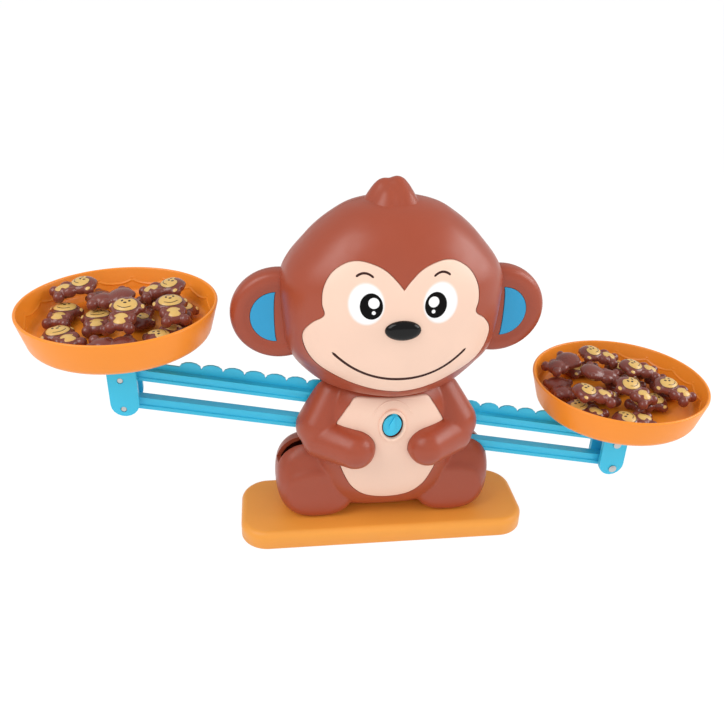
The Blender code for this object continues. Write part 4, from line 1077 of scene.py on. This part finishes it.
def make_base():
    """The base plate: a shallow tray turned upside down, with two ribs."""
    length = BASE_HIGH.x - BASE_LOW.x
    depth = BASE_HIGH.y - BASE_LOW.y
    height = BASE_HIGH.z
    corner_steps = 20
    edge_steps = 8
    foot = BASE_EDGE / 8
    levels = [(foot, 0), (foot / 3, foot / 3), (0, foot)]
    for step in range(edge_steps + 1):
        turn = math.pi / 2 * step / edge_steps
        inset = BASE_EDGE * (1 - math.cos(turn))
        levels.append((inset, height - BASE_EDGE + BASE_EDGE * math.sin(turn)))
    rings = []
    for inset, z in levels:
        sizes = (length - 2 * inset, depth - 2 * inset, BASE_CORNER - inset)
        rings.append([(x, y, z) for x, y in rounded_rectangle(*sizes, corner_steps)])
    base = loft("base", rings)
    inner_length = length - 2 * BASE_WALL
    inner_depth = depth - 2 * BASE_WALL
    hollow_outline = rounded_rectangle(inner_length, inner_depth, BASE_CORNER - BASE_WALL, corner_steps)
    hollow = prism("hollow", hollow_outline, -OVERRUN, height - BASE_WALL, "Z")
    for side in (-1, 1):
        middle = side * length / 6
        low = (middle - BASE_RIB / 2, -depth, -2 * OVERRUN)
        high = (middle + BASE_RIB / 2, depth, height)
        cut(hollow, box("rib", low, high))
    cut(base, hollow)
    for side in (-1, 1):
        centre = (side * BASE_SCREW_SIDE, BASE_SCREW_BACK)
        cut(base, cylinder("hole", SCREW_BORE, 0, height + OVERRUN, centre, "Z"))
    dress(base, "base_plate_shell", "base", "base_plate")


# Body

def leg_surface(side, count=LEG_ROUND, grow=0.0):
    """One folded leg, with a flat sole at the front."""
    rings = []
    for along, sideways, level, wide, tall in smooth_rows(LEG_SHARES, ROWS):
        y = -LEG_FRONT - grow + along * (LEG_FRONT + LEG_BACK + 2 * grow)
        half_height = LEG_HALF_HEIGHT * tall + grow
        outline = superellipse(LEG_HALF_WIDTH * wide + grow, half_height, half_height, LEG_ROUNDNESS, count)
        rings.append(section(outline, y, (side * LEG_SIDE * sideways, LEG_CENTRE_HEIGHT * level)))
    return loft("leg", rings)


def limb(start, end, start_radius, end_radius):
    """A tapered limb with a ball at each end."""
    length = (end - start).length
    steps = SMALL_ROUND // 4
    profile = arc((0, 0), start_radius, -90, 0, steps) + arc((0, length), end_radius, 0, 90, steps)
    profile = [(max(radius, 0), height) for radius, height in profile]
    result = turned("limb", profile, SMALL_ROUND)
    turn = Vector((0, 0, 1)).rotation_difference(end - start).to_matrix().to_4x4()
    result.data.transform(Matrix.Translation(start) @ turn)
    return result


def limbs(side, grow=0.0):
    """The upper arm, the forearm and the leg of one side."""
    pieces = []
    for start, end, start_radius, end_radius in ARM_LIMBS:
        places = [Vector((side * x, y, z)) for x, y, z in (start, end)]
        pieces.append(limb(*places, start_radius + grow, end_radius + grow))
    return pieces + [leg_surface(side, grow=grow)]


def window_outline(grow=0.0):
    """An upright oval round the upper pivot."""
    outline = ellipse(WINDOW_HALF_WIDTH + grow, WINDOW_HALF_HEIGHT + grow)
    return [(x, UPPER_PIVOT_HEIGHT + z) for x, z in outline]


def make_body():
    """The seated body as a front and a back shell with softened creases."""
    figure = [torso_surface()] + limbs(-1) + limbs(1)
    outer = soft_union("body", figure, BODY_VOXEL, BODY_SMOOTHING)
    reach = BODY_HALF_WIDTH * 3
    cut(outer, box("below", (-reach, -reach, -OVERRUN), (reach, reach, BODY_BOTTOM)))
    cut(outer, box("above", (-reach, -reach, BODY_TOP), (reach, reach, BODY_TOP + OVERRUN * 4)))

    pocket = prism("pocket", belly_outline(PLAY), -BODY_FRONT * 2, 0)
    cut(pocket, torso_surface(ROUND, -INLAY_DEPTH - PLAY))
    for side in (-1, 1):
        cut(pocket, *limbs(side))
    cut(outer, pocket)

    cavity = torso_surface(SMALL_ROUND, -WALL)
    for side in (-1, 1):
        unite(cavity, leg_surface(side, SMALL_ROUND, -WALL))
    cut(cavity, box("floor", (-reach, -reach, 0), (reach, reach, BODY_BOTTOM + WALL)))
    cut(outer, cavity)
    cut(outer, cylinder("neck", NECK_RADIUS + PLAY, BODY_TOP - WALL * 2, BODY_TOP + OVERRUN, axis="Z"))

    bearing_front = -BODY_FRONT * BEARING_REACH_SHARE
    unite(outer, prism("bearing", window_outline(BEARING_WALL), bearing_front, -BODY_FRONT / 3))
    cut(outer, prism("window", window_outline(), -BODY_FRONT - OVERRUN, 0))
    for side in (-1, 1):
        place = (side * BODY_SCREW_SIDE, BODY_SCREW_HEIGHT)
        unite(outer, cylinder("boss", BOSS_RADIUS, -BODY_FRONT / 2, BODY_BACK - WALL, place))
        cut_screw_well(outer, place, SCREW_SEAT, BODY_BACK)
        near = side * SLOT_INNER
        far = side * BODY_HALF_WIDTH * 2
        low = (min(near, far), -SLOT_HALF_WIDTH, SLOT_BOTTOM)
        high = (max(near, far), SLOT_HALF_WIDTH, BODY_TOP + OVERRUN)
        cut(outer, box("slot", low, high))

    split_shells(outer, "body", 0, reach, BODY_TOP * 2)


def make_belly():
    """The pale belly panel, with a raised rim round its window and a faint arc above it."""
    centre = (0, UPPER_PIVOT_HEIGHT)
    panel = draped_panel(belly_outline(), centre, torso_depth)
    for side in (-1, 1):
        cut(panel, *limbs(side, PLAY / 2))
    rings = [[(0, 0, UPPER_PIVOT_HEIGHT)], section(window_outline(WINDOW_RIM), 0)]
    half_rim = WINDOW_RIM / 2
    for grow, out in arc((half_rim, 0), half_rim, 0, 180, WINDOW_RIM_STEPS):
        rings.append(section(window_outline(grow), -BODY_FRONT - WINDOW_RIM_HEIGHT * out / half_rim))
    rings.append([(0, -BODY_FRONT, UPPER_PIVOT_HEIGHT)])
    rim = loft("rim", rings)
    cut(rim, torso_surface(ROUND, -INLAY_DEPTH / 2))
    unite(panel, rim)
    cut(panel, prism("window", window_outline(), -BODY_FRONT - OVERRUN, 0))
    dress(panel, "belly_inlay", "pale", "belly_panel")

    path = []
    for x, z in arc((0, 0), 1, *WINDOW_ARC_DEGREES, WINDOW_ARC_STEPS):
        path.append((WINDOW_ARC_HALF_WIDTH * x, UPPER_PIVOT_HEIGHT + WINDOW_ARC_HALF_HEIGHT * z))

    def panel_depth(x, z):
        return torso_depth(x, z) + INLAY_PROUD

    half_width = WINDOW_ARC_THICKNESS / 2
    draped_stroke("belly_arc", path, half_width, panel_depth, WINDOW_ARC_RISE, "pale")


# Head

def ear_surface(side):
    """A round ear with a soft raised rim round its dished front."""
    rings = [[(side * EAR_SIDE, -EAR_FRONT, EAR_HEIGHT)]]
    for along, size in smooth_rows(EAR_SHARES, EAR_ROWS):
        outline = ellipse(EAR_HALF_WIDTH * size, EAR_HALF_HEIGHT * size)
        y = -EAR_FRONT + along * (EAR_FRONT + EAR_BACK)
        rings.append(section(outline, y, (side * EAR_SIDE, EAR_HEIGHT)))
    rings.append([(side * EAR_SIDE, EAR_BACK, EAR_HEIGHT)])
    return loft("ear", rings)


def ear_insert_outline(side, grow=0.0):
    """A half moon whose flat side lies along the head."""
    steps = 32
    points = []
    for step in range(steps + 1):
        turn = math.pi * step / steps
        across = EAR_INSERT_SIDE + EAR_INSERT_WIDTH * math.sin(turn)
        points.append((across, EAR_HEIGHT + EAR_INSERT_HALF_HEIGHT * math.cos(turn)))
    for step in range(1, steps // 2):
        turn = math.pi * step / (steps // 2)
        across = EAR_INSERT_SIDE + EAR_INSERT_BULGE * math.sin(turn)
        points.append((across, EAR_HEIGHT - EAR_INSERT_HALF_HEIGHT * math.cos(turn)))
    outline = [(side * x, z) for x, z in grown_outline(points, grow)]
    return outline if side > 0 else list(reversed(outline))


def make_head():
    """The head and ears as a front and a back shell."""
    outer = head_surface()
    unite(outer, tuft_surface(outer))
    for side in (-1, 1):
        unite(outer, ear_surface(side))
    pocket = prism("pocket", face_outline(PLAY), -HEAD_FRONT * 2, 0)
    cut(pocket, head_surface(ROUND, -INLAY_DEPTH - PLAY))
    cut(outer, pocket)
    for side in (-1, 1):
        outline = ear_insert_outline(side, PLAY)
        cut(outer, prism("pocket", outline, -EAR_FRONT - OVERRUN, -EAR_FRONT + INLAY_DEPTH + PLAY))
        place = (side * HEAD_SCREW_SIDE, HEAD_SCREW_HEIGHT)
        cut_screw_well(outer, place, HEAD_PARTING + SCREW_SEAT, HEAD_BACK)
    reach = EAR_SIDE + EAR_HALF_WIDTH * 2
    split_shells(outer, "head", HEAD_PARTING, reach, HEAD_BOTTOM + HEAD_HEIGHT * 2)


def make_ear_inserts():
    for word, side in SIDES.items():
        insert = prism("insert", ear_insert_outline(side), -EAR_FRONT - PLAY, -EAR_FRONT + INLAY_DEPTH)
        rounded(insert, INLAY_EDGE / 2, segments=3)
        dress(insert, "ear_inlay_" + word, "ear_blue", "ear_insert_" + word)


def face_depth(x, z):
    return head_depth(x, z) + INLAY_PROUD


def make_face():
    """The pale face panel and what is printed on it."""
    panel = draped_panel(face_outline(), (0, (FACE_TOP + FACE_BOTTOM) / 2), head_depth)
    dress(panel, "face_inlay", "face", "face_panel")

    def printed_line(name, path, half_width):
        draped_stroke(name, path, half_width, face_depth, PRINT_PROUD, "line")

    for word, side in SIDES.items():
        for name, (sideways, height, half_width, half_height, layer, finish) in FACE_OVALS.items():
            place = (side * sideways, height)
            draped_oval(name + word, place, half_width, half_height, PRINT_PROUD * layer, finish)
        brow = []
        for share in spread(BROW_STEPS):
            x = side * BROW_SIDE + BROW_HALF_LENGTH * share
            brow.append((x, BROW_HEIGHT + BROW_RISE * (1 - share * share)))
        printed_line("brow_" + word, brow, BROW_HALF_WIDTH)
    mouth = []
    for share in spread(MOUTH_STEPS):
        height = MOUTH_BOTTOM + (MOUTH_END_HEIGHT - MOUTH_BOTTOM) * abs(share) ** MOUTH_CURVE
        mouth.append((MOUTH_HALF_LENGTH * share, height))
    printed_line("mouth", mouth, MOUTH_HALF_WIDTH)


def make_nose():
    """A glossy oval button of a nose."""
    rings = []
    for level, size in smooth_rows(NOSE_SHARES, ROWS):
        outline = ellipse(NOSE_HALF_WIDTH * size, NOSE_HALF_HEIGHT * size)
        rings.append(section(outline, -HEAD_FRONT - NOSE_RISE * level, (0, NOSE_HEIGHT)))
    rings.append([(0, -HEAD_FRONT - NOSE_RISE, NOSE_HEIGHT)])
    dress(loft("nose", rings), "nose_button", "black", "nose")


# Bowls and counters

def bracket_place(word):
    return Vector(joints[f"bracket_{word}_swing"]["pos_m"])


def festoon_rise(turn, height):
    """The raised line of scallops round the inside of a bowl's wall."""
    share = (turn / (2 * math.pi) * FESTOONS) % 1
    line = FESTOON_CUSP - FESTOON_SAG * math.sqrt(max(0.0, 1 - (2 * share - 1) ** 2))
    away = (height - line) / FESTOON_HALF_WIDTH
    return FESTOON_RISE * math.exp(-away * away)


def bowl_rings():
    """From the raised middle of the underside, up the wall, over the rim and down to the floor."""
    foot = BOWL_RADIUS - BOWL_DEPTH * math.tan(BOWL_DRAFT)
    rim = BOWL_WALL / 2
    lean = math.degrees(BOWL_DRAFT)
    recess = foot - BOWL_CORNER - BOWL_WALL
    outer = [(recess, BOWL_FOOT), (recess, 0)]
    outer += arc((foot - BOWL_CORNER, BOWL_CORNER), BOWL_CORNER, -90, -lean, BOWL_CORNER_STEPS)
    top = arc((BOWL_RADIUS - rim, BOWL_DEPTH - rim), rim, -lean, 180 - lean, BOWL_RIM_STEPS)
    inner_corner = BOWL_CORNER - BOWL_FLOOR / 2
    floor = BOWL_FOOT + BOWL_FLOOR
    inner_centre = (BOWL_FLOOR_RADIUS - inner_corner, floor + inner_corner)
    inner = arc(inner_centre, inner_corner, -lean, -90, BOWL_CORNER_STEPS)
    wall = []
    for step in range(1, BOWL_WALL_STEPS):
        share = step / BOWL_WALL_STEPS
        wall.append(tuple(a + (b - a) * share for a, b in zip(top[-1], inner[0])))
    count = BOWL_ROUND
    rings = [[(0, 0, BOWL_FOOT)]]
    rings += [circle(radius, count, height) for radius, height in outer + top]
    for radius, height in wall:
        ring = []
        for step in range(count):
            turn = 2 * math.pi * step / count
            near = radius - festoon_rise(turn, height)
            ring.append((near * math.cos(turn), near * math.sin(turn), height))
        rings.append(ring)
    rings += [circle(radius, count, height) for radius, height in inner]
    rings.append([(0, 0, floor)])
    return rings


def make_bowl(word, side):
    bowl = loft("bowl", bowl_rings())
    inner = SEAT_RADIUS + PLAY
    low = BOWL_FOOT - BOWL_COLLAR_HEIGHT
    high = BOWL_FOOT + BOWL_FLOOR / 2
    collar = cylinder("collar", inner + BOWL_COLLAR_WALL, low, high, axis="Z", count=ROUND)
    cut(collar, cylinder("inside", inner, low - OVERRUN, high + OVERRUN, axis="Z", count=ROUND))
    unite(bowl, collar)
    offset = Vector((-side * BOWL_INSET, 0, BOWL_SEAT))
    bowl.data.transform(Matrix.Translation(bracket_place(word) + offset))
    dress(bowl, "bowl_" + word, "bowl", "pan_" + word, "bracket_" + word)


def counter_shape():
    """The plain glossy figure of a counter, lying on its back with its face up."""
    lobes = []
    for (x, y, z), radii in COUNTER_LOBES:
        for side in (-1, 1) if y else (1,):
            lobes.append(ellipsoid("lobe", (x, side * y, z), radii, COUNTER_ROUND))
    return soft_union("counter", lobes, COUNTER_VOXEL, COUNTER_SMOOTHING)


def counter_top(surface, x, y, rise):
    """A place just above or below a counter's top."""
    return (x, y, height_of(surface, x, y, COUNTER_THICKNESS * 2) + rise)


def add_faces(shape, faces, finish, smooth):
    for corners in faces:
        face = shape.faces.new(corners)
        face.material_index = COUNTER_FINISHES.index(finish)
        face.smooth = smooth


def counter_patch(surface, outline, centre, layer, finish, shape):
    """Adds a thin print that follows a counter's top to its mesh."""
    steps = 9
    lift = COUNTER_PRINT_RISE * layer
    loops = []
    for index in range(-1, steps + 1):
        points = towards(outline, centre, 1 - max(index, 0) / steps) if index < steps else [centre]
        rise = lift if index >= 0 else -lift
        loops.append([shape.verts.new(counter_top(surface, x, y, rise)) for x, y in points])
    for low, high in zip(loops, loops[1:]):
        add_faces(shape, band(low, high), finish, True)
    add_faces(shape, [loops[0][::-1]], finish, False)


def counter_stroke(surface, outline, layer, finish, shape):
    """Adds a thin curved line, given as its outline there and back, to a counter's mesh."""
    lift = COUNTER_PRINT_RISE * layer
    low, high = (
        [shape.verts.new(counter_top(surface, x, y, rise)) for x, y in outline] for rise in (-lift, lift)
    )
    count = len(outline)
    faces = band(low, high)
    for step in range(count // 2):
        corners = [step, step + 1, (count - step - 1) % count, (count - step) % count]
        for loop, order in ((high, 1), (low, -1)):
            faces.append([loop[corner] for corner in dict.fromkeys(corners)][::order])
    add_faces(shape, faces, finish, False)


def heart(centre, half_length, half_width):
    """A rounded face outline with a notch at the brow, which is at -X."""
    points = []
    for x, y in oval((0, 0), 1, 1, HEART_ROUND):
        notch = COUNTER_NOTCH_SHARE * max(0.0, -x) ** 3 * math.exp(-(y * COUNTER_NOTCH_SHARPNESS) ** 2)
        points.append((centre[0] + half_length * (x + notch), centre[1] + half_width * y))
    return points


def waisted(centre, half_length, half_width):
    """A belly outline that is pinched where the hands meet it."""
    points = []
    for x, y in oval((0, 0), 1, 1, OVAL_ROUND):
        away = (x - COUNTER_PINCH_PLACE_SHARE) * COUNTER_PINCH_SHARPNESS
        pinch = 1 - COUNTER_PINCH_SHARE * math.exp(-away ** 2)
        points.append((centre[0] + half_length * x, centre[1] + half_width * y * pinch))
    return points


def smile():
    """A counter's smile: its outer edge there, and its inner edge back."""
    points = []
    for share in spread(SMILE_STEPS):
        x = COUNTER_SMILE_PLACE - COUNTER_SMILE_RISE * share ** 2
        points.append((x, COUNTER_SMILE_HALF_WIDTH * share))
    for x, y in reversed(points[1:-1]):
        points.append((x - COUNTER_SMILE_THICKNESS, y * COUNTER_SMILE_INNER_SHARE))
    return points


def counter_mesh():
    """A counter with its printed face and belly, as one mesh that all the counters share."""
    base = counter_shape()
    surface = surface_of(base)
    shape = bmesh.new()
    shape.from_mesh(base.data)
    for face in shape.faces:
        face.smooth = True
    edging = heart(COUNTER_FACE_PLACE, *(size + COUNTER_FACE_EDGE for size in COUNTER_FACE_SIZES))
    prints = [
        (edging, COUNTER_FACE_PLACE, 1, "dark"),
        (heart(COUNTER_FACE_PLACE, *COUNTER_FACE_SIZES), COUNTER_FACE_PLACE, 2, "tan"),
        (waisted(COUNTER_BELLY_PLACE, *COUNTER_BELLY_SIZES), COUNTER_BELLY_PLACE, 1, "tan"),
    ]
    for (x, y), sizes, layer, finish in COUNTER_OVALS:
        for side in (-1, 1) if y else (1,):
            place = (x, side * y)
            prints.append((oval(place, *sizes), place, layer, finish))
    for outline, centre, layer, finish in prints:
        counter_patch(surface, outline, centre, layer, finish, shape)
    counter_stroke(surface, smile(), 3, "dark", shape)
    bpy.data.objects.remove(base)
    mesh = mesh_from("counter", shape)
    for finish in COUNTER_FINISHES:
        mesh.materials.append(materials[finish])
    return mesh


def make_counters(word, side, shares, mesh):
    """The counters in one bowl, where the frame's counters lie, printed side up or down."""
    floor_radius = BOWL_FLOOR_RADIUS - PLAY
    lifted = {name for name in frame["bodies"] if name.startswith("counter_")}
    for number, (sideways, deep, heading, lean, face_up) in enumerate(shares, 1):
        node = f"counter_{word}_{number:02d}"
        counter = placed(f"monkey_{word}_{number:02d}", mesh)
        turn = Matrix.Rotation(math.radians(heading), 4, "Z")
        turn = turn @ Matrix.Rotation(math.radians(lean), 4, "Y")
        if not face_up:
            middle = Matrix.Translation((0, 0, COUNTER_THICKNESS / 2))
            turn = turn @ middle @ Matrix.Rotation(math.pi, 4, "X") @ middle.inverted()
        lowest = min((turn @ vertex.co).z for vertex in mesh.vertices)
        offset = Vector((floor_radius * sideways - side * BOWL_INSET, floor_radius * deep, 0))
        place = bracket_place(word) + offset
        place.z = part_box(node)[0].z - lowest
        counter.matrix_world = Matrix.Translation(place) @ turn
        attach(counter, node if node in lifted else "bracket_" + word)
        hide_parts(node)


# Beams, brackets, pins, axles and screws

def dress_nodes():
    """Gives the nodes that are not replaced their finish and slightly rounded edges."""
    finishes = {
        "blue": ["upper_beam", "lower_beam", "tilt_pointer", "bracket_left", "bracket_right"],
        "steel": [name for name in frame["nodes"] if "pin_" in name or "screw" in name or "axle" in name],
    }
    for finish, names in finishes.items():
        for name in names:
            node = frame["nodes"][name]
            node.data.materials.clear()
            node.data.materials.append(materials[finish])
            rounded(node, NODE_EDGE)


# Floor, light and camera

def make_stage():
    """A plain white floor that glows, yet keeps a faint shadow of the toy."""
    low = (-FLOOR_REACH, -FLOOR_REACH, -FLOOR_THICKNESS)
    floor = box("floor", low, (FLOOR_REACH, FLOOR_REACH, 0))
    material, tree, shader = new_material("floor_white")
    feed(tree, shader, {"Base Color": FLOOR_WHITE, "Roughness": FLOOR_ROUGHNESS})
    glow = add_node(tree, "Emission", {"Strength": FLOOR_GLOW}, "Emission")
    from_camera = add_node(tree, "LightPath", {}, "Is Camera Ray")
    mirrored = add_node(tree, "LightPath", {}, "Is Glossy Ray")
    seen = add_node(tree, "Math", {0: from_camera, 1: mirrored}, "Value", operation="MAXIMUM")
    share = add_node(tree, "Math", {0: seen, 1: FLOOR_GLOW_SHARE}, "Value", operation="MULTIPLY")
    mixed = add_node(tree, "MixShader", {"Fac": share, 1: shader.outputs["BSDF"], 2: glow}, "Shader")
    feed(tree, tree.nodes["Material Output"], {"Surface": mixed})
    floor.data.materials.append(material)


def make_world():
    world = bpy.data.worlds.new("studio")
    scene.world = world
    world.use_nodes = True
    tree = world.node_tree
    from_camera = add_node(tree, "LightPath", {}, "Is Camera Ray")
    levels = {"Value": from_camera, "To Min": AMBIENT_LEVEL, "To Max": BACKGROUND_LEVEL}
    strength = add_node(tree, "MapRange", levels, "Result")
    feed(tree, tree.nodes["Background"], {"Color": (1, 1, 1, 1), "Strength": strength})


def area_light(name, place, width, height, power, glossy=True):
    data = bpy.data.lights.new(name, "AREA")
    data.shape = "RECTANGLE"
    data.size = width
    data.size_y = height
    data.energy = power
    lamp = placed(name, data)
    lamp.location = place
    lamp.rotation_mode = "QUATERNION"
    lamp.rotation_quaternion = (Vector(LIGHT_TARGET) - Vector(place)).to_track_quat("-Z", "Y")
    lamp.visible_glossy = glossy


def make_lights():
    area_light("left_softbox", *LEFT_SOFTBOX)
    area_light("right_softbox", *RIGHT_SOFTBOX)
    area_light("front_fill", *FRONT_FILL, glossy=False)


def make_camera():
    """A camera turned about the vertical, lifted by its elevation and rolled a little."""
    data = bpy.data.cameras.new("camera")
    data.sensor_fit = "HORIZONTAL"
    data.sensor_width = SENSOR_WIDTH
    data.lens = CAMERA_LENS
    data.clip_start = NEAREST_SEEN
    data.clip_end = FARTHEST_SEEN
    camera = placed("camera", data)
    turn = Matrix.Rotation(CAMERA_AZIMUTH, 4, "Z")
    turn = turn @ Matrix.Rotation(math.pi / 2 - CAMERA_ELEVATION, 4, "X")
    turn = turn @ Matrix.Rotation(CAMERA_ROLL, 4, "Z")
    camera.matrix_world = Matrix.Translation(CAMERA_PLACE) @ turn
    bpy.context.scene.camera = camera


def main():
    bpy.context.scene.view_settings.view_transform = "Standard"
    make_camera()
    make_stage()
    make_world()
    make_lights()
    dress_nodes()
    make_base()
    make_body()
    make_belly()
    make_head()
    make_ear_inserts()
    make_face()
    make_nose()
    mesh = counter_mesh()
    for word, side in SIDES.items():
        make_bowl(word, side)
        make_counters(word, side, COUNTER_SHARES[word], mesh)


main()
